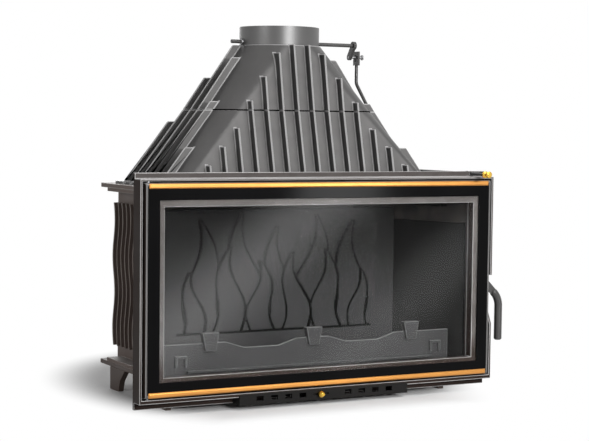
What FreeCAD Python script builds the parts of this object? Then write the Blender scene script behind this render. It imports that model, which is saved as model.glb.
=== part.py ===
"""Fireplace insert: cast-iron firebox with a glazed door, ribbed hood, flue damper and air register.

Frame: millimetres, +Z up, the front faces -Y.  The origin is the foot of the flue axis on the floor.
"""
import FreeCAD, Part
import math
import os
import Sketcher
from FreeCAD import Placement, Rotation, Vector

doc = FreeCAD.newDocument("FireplaceInsert")

# Driving dimensions, in millimetres, angles in degrees, counts as whole numbers.
DRIVING = [
    # Front frame
    ("flue_setback", 272), ("front_width", 1006), ("front_head", 53), ("front_bottom", 14),
    ("plate_thick", 8), ("rim_depth", 35), ("rim_side", 6), ("rim_top_drop", 14), ("rim_top_thick", 5),
    ("rim_bottom_rise", 18), ("rim_bottom_thick", 10), ("fire_opening_inset", 57),
    ("fire_opening_rise", 74), ("fire_opening_drop", 22), ("notch_height", 130), ("notch_depth", 17),
    ("notch_head", 7), ("notch_slope", 38), ("air_slot_width", 300), ("air_slot_height", 12),
    # Door
    ("door_gap_side", 4.5), ("door_gap_end", 4), ("door_proud", 5), ("door_depth", 28),
    ("door_bevel", 3), ("door_border_side", 52.5), ("door_border_top", 58), ("door_border_bottom", 47),
    ("glass_thick", 4), ("glass_band", 7.5), ("glass_play", 0.5), ("tape_thick", 2), ("tape_width", 10),
    ("rope_size", 14), ("rope_inset", 9), ("rope_groove", 6), ("face_gap", 0.3),
    ("strip_height", 13), ("strip_thick", 3), ("strip_inset", 9.5), ("strip_margin", 1),
    ("strip_screw_radius", 2.5), ("strip_screw_length", 8), ("strip_screws", 5),
    ("strip_screw_margin", 48),
    ("hinge_inset_side", 11.5), ("hinge_inset_front", 11), ("hinge_pin_radius", 3),
    ("hinge_pin_seat", 12), ("hinge_pin_reach", 8.5), ("running_play", 0.05),
    # Door handle
    ("pivot_inset", 16.5), ("pivot_rise", 254), ("pivot_pin_radius", 4), ("lever_wall", 5),
    ("lever_thick", 8), ("lever_play", 0.5), ("lever_width", 17), ("lever_eye_radius", 11),
    ("lever_slot_up", 15), ("lever_slot_down", 48), ("grip_radius", 10.5), ("grip_clear", 18.5),
    ("grip_bend", 50), ("grip_length", 88), ("grip_chamfer", 3), ("keeper_width", 22),
    ("keeper_height", 30), ("keeper_drop", 51),
    # Firebox body
    ("leg_height", 59), ("base_thick", 12), ("chamber_height", 457), ("top_thick", 12),
    ("flange_inset", 100), ("flange_front_inset", 33), ("flange_flare", 154), ("flange_depth", 465),
    ("wall_inset", 141), ("wall_front_inset", 43), ("wall_flare", 259), ("wall_thick", 6),
    ("back_inset", 20), ("lip_thick", 9), ("lip_back_inset", 46), ("side_ribs", 7),
    ("side_rib_pitch", 27), ("side_rib_thick", 5), ("side_rib_depth", 16), ("side_rib_wave", 7),
    ("side_rib_wavelength", 190), ("side_rib_steps", 12), ("side_rib_foot", 38), ("side_rib_head", 40),
    ("side_rib_margin", 10),
    ("back_rib_pitch", 60), ("back_rib_margin", 50), ("back_rib_depth", 10),
    ("smoke_opening_inset", 45), ("smoke_opening_depth", 280), ("ash_opening_width", 300),
    ("ash_opening_depth", 140), ("ash_opening_setback", 46),
    # Fire chamber
    ("fireback_setback", 229), ("fireback_thick", 14), ("fireback_drop", 52), ("fireback_gap", 1),
    ("spacer_thick", 10), ("spacer_height", 40), ("spacer_place", 250), ("spacer_rise", 240),
    ("lining_thick", 8), ("lining_drop", 85), ("lining_front_gap", 4),
    ("baffle_thick", 8), ("baffle_depth", 190), ("baffle_drop", 30), ("baffle_side_gap", 6),
    ("ledge_size", 14), ("guard_setback", 24), ("guard_thick", 8), ("guard_inset", 93),
    ("guard_height", 90), ("guard_dip", 16), ("lug_height", 46), ("lug_top", 46), ("lug_bottom", 28),
    ("lug_thick", 10), ("lug_rise", 26), ("lug_place", 290), ("dip_near", 97), ("dip_far", 193),
    ("clip_width", 32), ("clip_height", 28),
    ("clip_thick", 6), ("clip_inset", 42), ("clip_rise", 34),
    ("grate_overlap", 12), ("grate_thick", 14), ("grate_slots", 13), ("grate_slot_width", 11),
    ("grate_slot_pitch", 22), ("grate_border", 14), ("ash_box_wall", 4), ("ash_box_height", 39),
    ("ash_box_margin", 20), ("ash_pan_wall", 2), ("ash_pan_height", 22), ("ash_pan_gap", 8),
    # Legs
    ("leg_web", 15), ("leg_foot", 57), ("leg_flare", 42), ("leg_pad", 36), ("leg_pad_thick", 6),
    ("leg_rear_inset", 99), ("leg_front_place", 170), ("foot_hole_radius", 4), ("foot_hole_depth", 25),
    ("leg_bolt_inset", 10),
    # Hood
    ("hood_inset", 28), ("hood_half_depth", 182), ("hood_corner", 26), ("seam_rise", 194),
    ("seam_half_width", 226), ("seam_half_depth", 136), ("seam_corner", 60), ("crown_rise", 169),
    ("crown_half", 106), ("crown_corner", 98), ("hood_wall", 5), ("hood_ribs", 14),
    ("hood_side_ribs", 6), ("hood_rib_pitch", 43.8), ("hood_rib_thick", 5), ("hood_rib_depth", 24),
    ("front_rib_foot", 37), ("front_rib_seam", 72), ("front_rib_crown", 56), ("side_rib_base", 23),
    ("side_rib_seam", 50), ("side_rib_crown", 85), ("side_rib_shift", 12), ("hood_rib_root", 14),
    ("hood_flange", 16), ("hood_flange_thick", 8),
    # Flue collar and damper
    ("collar_radius", 106), ("collar_height", 48), ("socket_radius", 101), ("socket_depth", 28),
    ("throat_radius", 94), ("shaft_rise", 9), ("shaft_radius", 5), ("shaft_left", 138),
    ("shaft_right", 234), ("shaft_flat", 1), ("disc_gap", 1), ("disc_thick", 5), ("washer_radius", 8),
    ("washer_thick", 5), ("crank_reach", 37), ("crank_angle", 35), ("crank_width", 16),
    ("crank_thick", 8), ("crank_hub_wall", 6), ("crank_end_gap", 2), ("crank_bolt_radius", 3.5),
    ("crank_bolt_length", 45),
    ("bolt_head_radius", 7), ("bolt_head_thick", 4), ("yoke_gap", 15), ("yoke_thick", 6),
    ("yoke_width", 26), ("yoke_wall", 10), ("yoke_play", 1.2), ("yoke_slack", 8),
    ("rod_radius", 4.5), ("rod_bend", 30), ("rod_straight", 54), ("rod_inset", 48), ("rod_clear", 15),
    ("rod_play", 0.3),
    ("rod_front", 61), ("knob_radius", 8.5), ("knob_waist", 4.5), ("knob_length", 24), ("knob_disc", 5),
    # Air register
    ("register_half", 241), ("register_drop", 2), ("register_height", 26), ("register_thick", 4),
    ("register_floor", 3), ("register_wall", 3), ("air_slots", 4), ("slot_width", 19),
    ("slot_height", 12),
    ("slot_pitch", 40), ("slot_first", 65), ("slide_thick", 3), ("slide_travel", 20), ("slide_play", 0.5),
    ("air_knob_place", 15), ("air_knob_stem", 2.5), ("air_knob_radius", 8.5), ("air_knob_length", 14),
    ("guide_width", 20), ("guide_place", 105), ("guide_height", 5),
    # Fasteners
    ("bolt_radius", 6), ("bolt_height", 5), ("bolt_inset", 18), ("frame_bolts", 4), ("hood_bolts", 6),
    # Overrun of a cutting tool past the face it starts from
    ("over", 1),
]

sheet = doc.addObject("Spreadsheet::Sheet", "Dims")
for row, (alias, amount) in enumerate(DRIVING, 1):
    sheet.set(f"A{row}", alias)
    sheet.set(f"B{row}", str(amount))
    sheet.setAlias(f"B{row}", alias)
doc.recompute()


class Dim:
    """A size that carries its number and the sheet formula that it comes from."""

    def __init__(self, value, text):
        self.value = float(value)
        self.text = text

    def __float__(self):
        return self.value

    def __add__(self, other):
        return Dim(self.value + float(other), f"({self.text} + {formula(other)})")

    def __radd__(self, other):
        return Dim(float(other) + self.value, f"({formula(other)} + {self.text})")

    def __sub__(self, other):
        return Dim(self.value - float(other), f"({self.text} - {formula(other)})")

    def __rsub__(self, other):
        return Dim(float(other) - self.value, f"({formula(other)} - {self.text})")

    def __mul__(self, other):
        return Dim(self.value * float(other), f"({self.text} * {formula(other)})")

    __rmul__ = __mul__

    def __truediv__(self, other):
        return Dim(self.value / float(other), f"({self.text} / {formula(other)})")

    def __neg__(self):
        return Dim(-self.value, f"(0 - {self.text})")


def formula(size):
    return size.text if isinstance(size, Dim) else f"({float(size)})"


class Sizes:
    """Gives each cell of the sheet as a Dim, by its alias."""

    def __getattr__(self, alias):
        return Dim(sheet.get(alias), f"Dims.{alias}")


d = Sizes()
ZERO = Dim(0, "0")


def bind(item, prop, size):
    item.setExpression(prop, formula(size))


def set_place(item, x, y, z):
    for axis, size in zip("xyz", (x, y, z)):
        bind(item, f"Placement.Base.{axis}", size)


def box(name, x, y, z):
    """A block; x, y and z are each a pair, low and high."""
    block = doc.addObject("Part::Box", name)
    for prop, (low, high) in zip(("Length", "Width", "Height"), (x, y, z)):
        bind(block, prop, high - low)
    set_place(block, x[0], y[0], z[0])
    return block


TURN = {"X": Rotation(Vector(0, 1, 0), 90), "Y": Rotation(Vector(1, 0, 0), -90), "Z": Rotation()}


def rod(name, axis, radius, start, length):
    """A round bar from the point start along a main axis."""
    bar = doc.addObject("Part::Cylinder", name)
    bar.Placement = Placement(Vector(), TURN[axis])
    bind(bar, "Radius", radius)
    bind(bar, "Height", length)
    set_place(bar, *start)
    return bar


def hexagon(name, axis, start, length):
    """A hexagon bolt head from the point start along a main axis."""
    head = doc.addObject("Part::Prism", name)
    head.Placement = Placement(Vector(), TURN[axis])
    head.Polygon = 6
    bind(head, "Circumradius", d.bolt_radius)
    bind(head, "Height", length)
    set_place(head, *start)
    return head


def fuse(name, *items):
    joined = doc.addObject("Part::MultiFuse", name)
    joined.Shapes = list(items)
    joined.Refine = True
    return joined


def cut(name, base, *tools):
    carved = doc.addObject("Part::Cut", name)
    carved.Base = base
    carved.Tool = tools[0] if len(tools) == 1 else fuse(name + "_tools", *tools)
    carved.Refine = True
    return carved


def group(name, *items):
    together = doc.addObject("Part::Compound", name)
    together.Links = list(items)
    return together


def mirrored(name, item):
    other = doc.addObject("Part::Mirroring", name)
    other.Source = item
    other.Normal = Vector(1, 0, 0)
    return other


def feature(name, shape):
    item = doc.addObject("Part::Feature", name)
    item.Shape = shape
    item.Placement = Placement()
    return item


def attach_sketch(body, role, offset):
    sketch = body.newObject("Sketcher::SketchObject", body.Name + "_sketch")
    plane = next(item for item in body.Origin.OriginFeatures if item.Role == role)
    sketch.AttachmentSupport = (plane, [""])
    sketch.MapMode = "FlatFace"
    bind(sketch, "AttachmentOffset.Base.z", offset)
    return sketch


def draw_outline(sketch, corners):
    """A closed outline of straight lines with each corner held by two sizes from the origin."""
    count = len(corners)
    spots = [Vector(float(x), float(y), 0) for x, y in corners]
    for index in range(count):
        sketch.addGeometry(Part.LineSegment(spots[index], spots[(index + 1) % count]), False)
    for index, corner in enumerate(corners):
        sketch.addConstraint(Sketcher.Constraint("Coincident", index - 1 if index else count - 1, 2,
                                                 index, 1))
        for kind, size in zip(("DistanceX", "DistanceY"), corner):
            spot = sketch.addConstraint(Sketcher.Constraint(kind, -1, 1, index, 1, float(size)))
            label = f"{kind[-1].lower()}{index}"
            sketch.renameConstraint(spot, label)
            sketch.setExpression(f"Constraints.{label}", formula(size))


def plate(name, role, corners, low, high):
    """A body padded from an outline on an origin plane, between two levels along its normal axis."""
    body = doc.addObject("PartDesign::Body", name)
    sketch = attach_sketch(body, role, -high if role == "XZ_Plane" else low)
    draw_outline(sketch, corners)
    pad = body.newObject("PartDesign::Pad", name + "_pad")
    pad.Profile = sketch
    bind(pad, "Length", high - low)
    body.Tip = pad
    return body


def turned(name, corners, x, z):
    """A turned piece about an axis along Y: corners are pairs of radius and place along Y."""
    body = doc.addObject("PartDesign::Body", name)
    sketch = attach_sketch(body, "XY_Plane", 0)
    draw_outline(sketch, corners)
    spin = body.newObject("PartDesign::Revolution", name + "_turn")
    spin.Profile = sketch
    spin.ReferenceAxis = (sketch, ["V_Axis"])
    spin.Angle = 360
    body.Tip = spin
    set_place(body, x, 0, z)
    return body


# Levels and faces that several pieces share
rim_front = -d.flue_setback
plate_front = rim_front + d.rim_depth
plate_back = plate_front + d.plate_thick
base_top = d.leg_height + d.base_thick
chamber_top = base_top + d.chamber_height
plate_top = chamber_top + d.front_head
front_half = d.front_width / 2
rim_top = plate_top - d.rim_top_drop
rim_bottom = d.front_bottom + d.rim_bottom_rise
rim_inner_half = front_half - d.rim_side
rim_inner_top = rim_top - d.rim_top_thick
rim_inner_bottom = rim_bottom + d.rim_bottom_thick

door_half = rim_inner_half - d.door_gap_side
door_bottom = rim_inner_bottom + d.door_gap_end
door_top = rim_inner_top - d.door_gap_end
door_front = rim_front - d.door_proud
door_back = door_front + d.door_depth
glass_back = door_front + d.glass_thick
recess_floor = glass_back + d.tape_thick
hinge_x = d.hinge_inset_side - door_half
hinge_y = door_front + d.hinge_inset_front

lever_front = recess_floor + d.lever_wall + d.lever_play
lever_back = lever_front + d.lever_thick
pivot_x = door_half - d.pivot_inset
pivot_z = door_bottom + d.pivot_rise

hood_bottom = chamber_top + d.top_thick
seam = hood_bottom + d.seam_rise
crown = seam + d.crown_rise
body_back = plate_back + d.flange_depth
wall_back = body_back - d.back_inset
flange_half = front_half - d.flange_inset
flange_front_half = front_half - d.flange_front_inset
wall_half = front_half - d.wall_inset
wall_front_half = front_half - d.wall_front_inset
wall_inner = wall_half - d.wall_thick
hood_half_width = flange_half - d.hood_inset
guard_half = front_half - d.guard_inset
leg_rear_place = body_back - d.leg_rear_inset
rod_side = front_half - d.rod_inset
flare_end = plate_back + d.wall_flare
fireback_front = plate_back + d.fireback_setback
collar_top = crown + d.collar_height
shaft_z = crown + d.shaft_rise
rod_z = (rim_top + plate_top) / 2
register_bottom = d.front_bottom - d.register_drop
register_top = register_bottom + d.register_height
register_front = rim_front - d.register_thick
air_z = register_bottom + (d.register_floor + d.register_height) / 2


def span(half, centre=0):
    return (centre - half, centre + half)


def make_front_frame():
    outer = box("frame_plate", span(front_half), (plate_front, plate_back),
                (d.front_bottom, plate_top))
    rim = box("frame_rim", span(front_half), (rim_front, plate_front), (rim_bottom, rim_top))
    well = box("frame_well", span(rim_inner_half), (rim_front - d.over, plate_front),
               (rim_inner_bottom, rim_inner_top))
    sill = d.front_bottom + d.fire_opening_rise
    fire = box("fire_opening", span(front_half - d.fire_opening_inset),
               (plate_front - d.over, plate_back + d.over),
               (sill, chamber_top - d.fire_opening_drop))
    notch_top = pivot_z + d.notch_head
    notch_bottom = notch_top - d.notch_height
    notch_back = rim_front + d.notch_depth
    notch = plate("handle_notch", "YZ_Plane",
                  [(rim_front - d.over, notch_bottom), (notch_back, notch_bottom + d.notch_slope),
                   (notch_back, notch_top), (rim_front - d.over, notch_top)],
                  rim_inner_half - d.over, front_half + d.over)
    slot = box("air_slot", span(d.air_slot_width / 2), (plate_front - d.over, plate_back + d.over),
               span(d.air_slot_height / 2, air_z))
    rod_hole = rod("rod_hole", "Y", d.rod_radius + d.rod_play, (rod_side, plate_front - d.over, rod_z),
                   d.plate_thick + 2 * d.over)
    pin_hole = rod("pin_holes", "Z", d.hinge_pin_radius + d.running_play,
                   (hinge_x, hinge_y, rim_bottom - d.over),
                   rim_top - rim_bottom + 2 * d.over)
    ring = cut("frame_ring", rim, well)
    return cut("front_frame", fuse("frame_casting", outer, ring), fire, notch, slot, rod_hole, pin_hole)


def make_door_frame(screws):
    bevel_back = recess_floor
    slab = box("door_slab", span(door_half), (bevel_back, door_back), (door_bottom, door_top))
    face = doc.addObject("Part::Wedge", "door_bevel_face")
    for prop, size in (("Xmin", d.door_bevel - door_half), ("Xmax", door_half - d.door_bevel),
                       ("X2min", -door_half), ("X2max", door_half),
                       ("Zmin", door_bottom + d.door_bevel), ("Zmax", door_top - d.door_bevel),
                       ("Z2min", door_bottom), ("Z2max", door_top), ("Ymin", door_front),
                       ("Ymax", bevel_back)):
        bind(face, prop, size)
    window = box("door_window", span(door_half - d.door_border_side),
                 (door_front - d.over, door_back + d.over),
                 (door_bottom + d.door_border_bottom, door_top - d.door_border_top))
    inset = d.glass_band - d.glass_play
    recess = box("glass_recess", span(door_half - inset), (door_front - d.over, recess_floor),
                 (door_bottom + inset, door_top - inset))
    groove = rope_ring("rope_groove_cut", door_back - d.rope_groove, door_back + d.over)
    slot = box("lever_slot", (pivot_x - d.lever_eye_radius - d.lever_play, door_half + d.over),
               (lever_front - d.lever_play, lever_back + d.lever_play),
               (pivot_z - d.lever_slot_down, pivot_z + d.lever_slot_up))
    pivot = rod("pivot_hole", "Y", d.pivot_pin_radius, (pivot_x, recess_floor, pivot_z),
                door_back - recess_floor)
    pins = [rod(name, "Z", d.hinge_pin_radius, (hinge_x, hinge_y, low), d.hinge_pin_seat + d.over)
            for name, low in (("pin_seat_top", door_top - d.hinge_pin_seat),
                              ("pin_seat_bottom", door_bottom - d.over))]
    return cut("door_frame", fuse("door_casting", slab, face), window, recess, groove, slot, pivot, *pins,
               *screws)


def rope_ring(name, low, high):
    outer = door_half - d.door_border_side + d.rope_inset + d.rope_size
    rise = d.rope_inset + d.rope_size
    bottom = door_bottom + d.door_border_bottom
    top = door_top - d.door_border_top
    whole = box(name + "_outer", span(outer), (low, high), (bottom - rise, top + rise))
    hole = box(name + "_inner", span(outer - d.rope_size), (low - d.over, high + d.over),
               (bottom - d.rope_inset, top + d.rope_inset))
    return cut(name, whole, hole)


def make_glazing():
    glass_half = door_half - d.glass_band
    bottom = door_bottom + d.glass_band
    top = door_top - d.glass_band
    glass = box("door_glass", span(glass_half), (door_front, glass_back), (bottom, top))
    tape_outer = box("tape_outer", span(glass_half), (glass_back, recess_floor), (bottom, top))
    tape_hole = box("tape_hole", span(glass_half - d.tape_width),
                    (glass_back - d.over, recess_floor + d.over),
                    (bottom + d.tape_width, top - d.tape_width))
    tape = cut("glass_seal", tape_outer, tape_hole)
    rope = rope_ring("door_rope_seal", door_back - d.rope_groove, plate_front - d.face_gap)
    return [glass, tape, rope]


def make_strips():
    strips = []
    screws = []
    for name, low in (("brass_strip_top", door_top - d.strip_margin - d.strip_height),
                      ("brass_strip_bottom", door_bottom + d.strip_margin)):
        half = door_half - d.strip_inset
        strip = doc.addObject("Part::Wedge", name)
        for prop, size in (("Xmin", d.strip_thick - half), ("Xmax", half - d.strip_thick),
                           ("X2min", -half), ("X2max", half), ("Zmin", low + d.strip_thick),
                           ("Zmax", low + d.strip_height - d.strip_thick), ("Z2min", low),
                           ("Z2max", low + d.strip_height), ("Ymin", door_front - d.strip_thick),
                           ("Ymax", door_front)):
            bind(strip, prop, size)
        strips.append(strip)
        level = door_top - d.strip_margin - d.strip_screw_radius if "top" in name else (
            door_bottom + d.strip_margin + d.strip_screw_radius)
        count = int(float(d.strip_screws))
        for index in range(count):
            place = (half - d.strip_screw_margin) * (2 * index / (count - 1) - 1)
            screws.append(rod(f"{name}_screw{index}", "Y", d.strip_screw_radius,
                              (place, door_front, level), d.strip_screw_length))
    return strips, screws


def make_hinge_pins():
    length = d.hinge_pin_seat + d.hinge_pin_reach
    upper = rod("hinge_pin_top", "Z", d.hinge_pin_radius, (hinge_x, hinge_y, door_top - d.hinge_pin_seat),
                length)
    lower = rod("hinge_pin_bottom", "Z", d.hinge_pin_radius,
                (hinge_x, hinge_y, door_bottom - d.hinge_pin_reach), length)
    return group("hinge_pins", upper, lower)


def make_handle():
    """A flat lever that slopes out of the door through the rim notch and bends into a round grip."""
    grip_x = front_half + d.grip_clear + d.grip_radius
    diagonal = d.grip_bend * math.sqrt(0.5)
    neck_x = grip_x - d.grip_bend + diagonal
    neck_z = pivot_z + pivot_x - neck_x
    bend_z = neck_z - diagonal
    half = d.lever_width * math.sqrt(0.5) / 2
    corners = [(pivot_x - half, pivot_z - half), (pivot_x + half, pivot_z + half),
               (neck_x + half, neck_z + half), (neck_x - half, neck_z - half)]
    neck = plate("lever_neck", "XZ_Plane", corners, lever_front, lever_back)
    eye = rod("lever_eye", "Y", d.lever_eye_radius, (pivot_x, lever_front, pivot_z), d.lever_thick)
    middle = lever_front + d.lever_thick / 2
    shoulder = doc.addObject("Part::Sphere", "grip_shoulder")
    bind(shoulder, "Radius", d.grip_radius)
    set_place(shoulder, neck_x, middle, neck_z)
    bend = doc.addObject("Part::Torus", "grip_bend_piece")
    bend.Placement = Placement(Vector(), Rotation(Vector(1, 0, 0), 90))
    bend.Angle3 = 45
    bind(bend, "Radius1", d.grip_bend)
    bind(bend, "Radius2", d.grip_radius)
    set_place(bend, grip_x - d.grip_bend, middle, bend_z)
    bar_end = bend_z - d.grip_length
    bar = rod("grip_bar", "Z", d.grip_radius, (grip_x, middle, bar_end), d.grip_length)
    tip = doc.addObject("Part::Cone", "grip_tip")
    bind(tip, "Radius1", d.grip_radius - d.grip_chamfer)
    bind(tip, "Radius2", d.grip_radius)
    bind(tip, "Height", d.grip_chamfer)
    set_place(tip, grip_x, middle, bar_end - d.grip_chamfer)
    bore = rod("lever_bore", "Y", d.pivot_pin_radius + d.running_play,
               (pivot_x, lever_front - d.over, pivot_z),
               d.lever_thick + 2 * d.over)
    handle = cut("door_handle", fuse("handle_forging", neck, eye, shoulder, bend, bar, tip), bore)
    pin = rod("handle_pivot_pin", "Y", d.pivot_pin_radius, (pivot_x, recess_floor, pivot_z),
              door_back - recess_floor)
    keeper = box("latch_keeper", span(d.keeper_width / 2, pivot_x + 2 * d.lever_play),
                 (door_back + d.face_gap, plate_front),
                 span(d.keeper_height / 2, pivot_z - d.keeper_drop))
    return handle, pin, keeper


def flange_outline():
    flare = plate_back + d.flange_flare
    left = [(-flange_front_half, plate_back), (-flange_half, flare), (-flange_half, body_back)]
    return left + [(-x, y) for x, y in reversed(left)]


def make_flange_plates():
    base = plate("base_casting", "XY_Plane", flange_outline(), d.leg_height, base_top)
    ash_front = plate_back + d.ash_opening_setback
    ash = box("ash_opening", span(d.ash_opening_width / 2), (ash_front, ash_front + d.ash_opening_depth),
              (d.leg_height - d.over, base_top + d.over))
    top = plate("top_casting", "XY_Plane", flange_outline(), chamber_top, hood_bottom)
    smoke = box("smoke_opening", span(hood_half_width - d.smoke_opening_inset),
                span(d.smoke_opening_depth / 2),
                (chamber_top - d.over, hood_bottom + d.over))
    return cut("base_plate", base, ash), cut("top_plate", top, smoke)


def wavy_rib(place):
    """One upright rib of the left wall, bent from side to side as it climbs."""
    low = float(base_top + d.side_rib_foot)
    high = float(chamber_top - d.side_rib_head)
    steps = int(float(d.side_rib_steps))
    levels = [low + (high - low) * step / steps for step in range(steps + 1)]
    swing = [float(d.side_rib_wave) * math.sin(2 * math.pi * (z - low) / float(d.side_rib_wavelength))
             for z in levels]
    edges = []
    for side in (-0.5, 0.5):
        curve = Part.BSplineCurve()
        curve.interpolate([Vector(-float(wall_inner + d.over),
                                  place + shift + side * float(d.side_rib_thick), z)
                           for z, shift in zip(levels, swing)])
        edges.append(curve)
    first, second = edges
    foot = Part.LineSegment(first.StartPoint, second.StartPoint)
    head = Part.LineSegment(first.EndPoint, second.EndPoint)
    wire = Part.Wire(Part.__sortEdges__([item.toShape() for item in (first, head, second, foot)]))
    return Part.Face(wire).extrude(Vector(float(d.over - d.side_rib_depth - d.wall_thick), 0, 0))


def make_side_wall():
    """The left wall: a sheet that flares to the front, with lips at head and foot and wavy ribs."""
    corners = [(-wall_front_half, plate_back), (-wall_half, flare_end), (-wall_half, wall_back),
               (-wall_inner, wall_back), (-wall_inner, flare_end),
               (d.wall_thick - wall_front_half, plate_back)]
    sheet_body = plate("wall_sheet", "XY_Plane", corners, base_top, chamber_top)
    lip_y = (plate_back + d.flange_flare, body_back - d.lip_back_inset)
    lip_x = (-flange_half, -wall_inner)
    head = box("wall_head_lip", lip_x, lip_y, (chamber_top - d.lip_thick, chamber_top))
    foot = box("wall_foot_lip", lip_x, lip_y, (base_top, base_top + d.lip_thick))
    chamber = plate("wall_inside", "XY_Plane",
                    [(-wall_inner, wall_back), (-wall_inner, flare_end),
                     (d.wall_thick - wall_front_half, plate_back), (0, plate_back), (0, wall_back)],
                    base_top - d.over, chamber_top + d.over)
    last = float(wall_back - d.side_rib_margin)
    ribs = [feature(f"wall_rib{index}", wavy_rib(last - index * float(d.side_rib_pitch)))
            for index in range(int(float(d.side_ribs)))]
    return cut("side_wall_left", fuse("wall_casting", sheet_body, head, foot, *ribs), chamber)


def make_back_wall():
    sheet_box = box("back_sheet", span(wall_inner), (wall_back - d.wall_thick, wall_back),
                    (base_top, chamber_top))
    per_side = int(float(wall_inner - d.back_rib_margin) / float(d.back_rib_pitch))
    ribs = [box(f"back_rib{index + per_side}",
                span(d.side_rib_thick / 2, d.back_rib_pitch * index),
                (wall_back - d.over, wall_back + d.back_rib_depth),
                (base_top + d.side_rib_foot, chamber_top - d.side_rib_head))
            for index in range(-per_side, per_side + 1)]
    return fuse("back_wall", sheet_box, *ribs)


def wall_inside_at(y):
    """Half the clear width between the flared walls at a place along Y."""
    slope = (wall_front_half - wall_half) / d.wall_flare
    return wall_inner + (flare_end - y) * slope


def make_linings():
    front = plate_back + d.lining_front_gap
    back = fireback_front - d.face_gap
    outer = [(-wall_inside_at(front), front), (-wall_inside_at(back), back)]
    inner = [(x + d.lining_thick, y) for x, y in reversed(outer)]
    left = plate("side_lining_left", "XY_Plane", outer + inner, base_top, chamber_top - d.lining_drop)
    return left, mirrored("side_lining_right", left)


def make_fireback():
    half = wall_inside_at(fireback_front + d.fireback_thick) - d.fireback_gap
    back = fireback_front + d.fireback_thick
    stone = box("fireback", span(half), (fireback_front, back), (base_top, chamber_top - d.fireback_drop))
    rise = base_top + d.spacer_rise
    spacers = [box(f"spacer{index}", span(d.spacer_thick / 2, side * d.spacer_place),
                   (back, wall_back - d.wall_thick), (rise, rise + d.spacer_height))
               for index, side in enumerate((-1, 1))]
    return stone, group("fireback_spacers", *spacers)


def make_baffle():
    """A flat plate over the fire that lies on a ledge along each flared wall."""
    under = chamber_top - d.baffle_drop
    back = fireback_front + d.fireback_thick + d.ledge_size
    wall_line = [(-wall_inside_at(y), y) for y in (back - d.baffle_depth, back)]
    edge = [(x + d.baffle_side_gap, y) for x, y in wall_line]
    baffle = plate("smoke_baffle", "XY_Plane", edge + [(-x, y) for x, y in reversed(edge)],
                   under, under + d.baffle_thick)
    corners = wall_line + [(x + d.ledge_size, y) for x, y in reversed(wall_line)]
    ledge = plate("baffle_ledge_left", "XY_Plane", corners, under - d.ledge_size, under)
    return baffle, ledge, mirrored("baffle_ledge_right", ledge)


def make_log_guard():
    """A low cast wall behind the glass: a wavy top edge, three tapered lugs and two staple clips."""
    front = plate_back + d.guard_setback
    back = front + d.guard_thick
    crest = base_top + d.guard_height
    dip = crest - d.guard_dip
    half_run = [(guard_half, crest), (d.lug_place - d.lug_top, crest), (d.dip_far, dip),
                (d.dip_near, dip),
                (d.lug_top, crest)]
    top_run = half_run + [(-x, z) for x, z in reversed(half_run)]
    corners = [(-guard_half, base_top), (guard_half, base_top)] + top_run
    wall = plate("guard_wall", "XZ_Plane", corners, front, back)
    parts = [wall]
    for index, centre in enumerate((-d.lug_place, ZERO, d.lug_place)):
        peak = crest + d.lug_rise
        lug = [(centre - d.lug_bottom / 2, peak - d.lug_height),
               (centre + d.lug_bottom / 2, peak - d.lug_height),
               (centre + d.lug_top / 2, peak), (centre - d.lug_top / 2, peak)]
        parts.append(plate(f"guard_lug{index}", "XZ_Plane", lug, front - d.lug_thick, back))
    clips = []
    for index, side in enumerate((-1, 1)):
        centre = side * (guard_half - d.clip_inset)
        low = base_top + d.clip_rise
        block = box(f"clip_block{index}", span(d.clip_width / 2, centre), (front - d.clip_thick, front),
                    (low, low + d.clip_height))
        gap = box(f"clip_gap{index}", span(d.clip_width / 2 - d.clip_thick, centre),
                  (front - d.clip_thick - d.over, front + d.over),
                  (low - d.over, low + d.clip_height - d.clip_thick))
        clips.append(cut(f"clip{index}", block, gap))
    return fuse("log_guard", *parts), group("guard_clips", *clips)


def make_grate():
    front = plate_back + d.ash_opening_setback - d.grate_overlap
    back = front + d.ash_opening_depth + 2 * d.grate_overlap
    block = box("grate_block", span(d.ash_opening_width / 2 + d.grate_overlap), (front, back),
                (base_top, base_top + d.grate_thick))
    count = int(float(d.grate_slots))
    slots = [box(f"grate_slot{index}",
                 span(d.grate_slot_width / 2, d.grate_slot_pitch * (index - (count - 1) / 2)),
                 (front + d.grate_border, back - d.grate_border),
                 (base_top - d.over, base_top + d.grate_thick + d.over))
             for index in range(count)]
    return cut("fire_grate", block, *slots)


def make_ash_box():
    half = d.ash_opening_width / 2 + d.ash_box_margin
    back = plate_back + d.ash_opening_setback + d.ash_opening_depth + d.ash_box_margin
    low = d.leg_height - d.ash_box_height
    shell = box("ash_shell", span(half), (plate_back, back), (low, d.leg_height))
    room = box("ash_room", span(half - d.ash_box_wall), (plate_back - d.over, back - d.ash_box_wall),
               (low + d.ash_box_wall, d.leg_height + d.over))
    pan_low = low + d.ash_box_wall
    pan_half = half - d.ash_box_wall - d.ash_pan_gap
    pan_y = (plate_back + d.ash_pan_gap, back - d.ash_box_wall - d.ash_pan_gap)
    pan = box("pan_block", span(pan_half), pan_y, (pan_low, pan_low + d.ash_pan_height))
    hollow = box("pan_hollow", span(pan_half - d.ash_pan_wall),
                 (pan_y[0] + d.ash_pan_wall, pan_y[1] - d.ash_pan_wall),
                 (pan_low + d.ash_pan_wall, pan_low + d.ash_pan_height + d.over))
    return cut("ash_box", shell, room), cut("ash_pan", pan, hollow)


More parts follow.
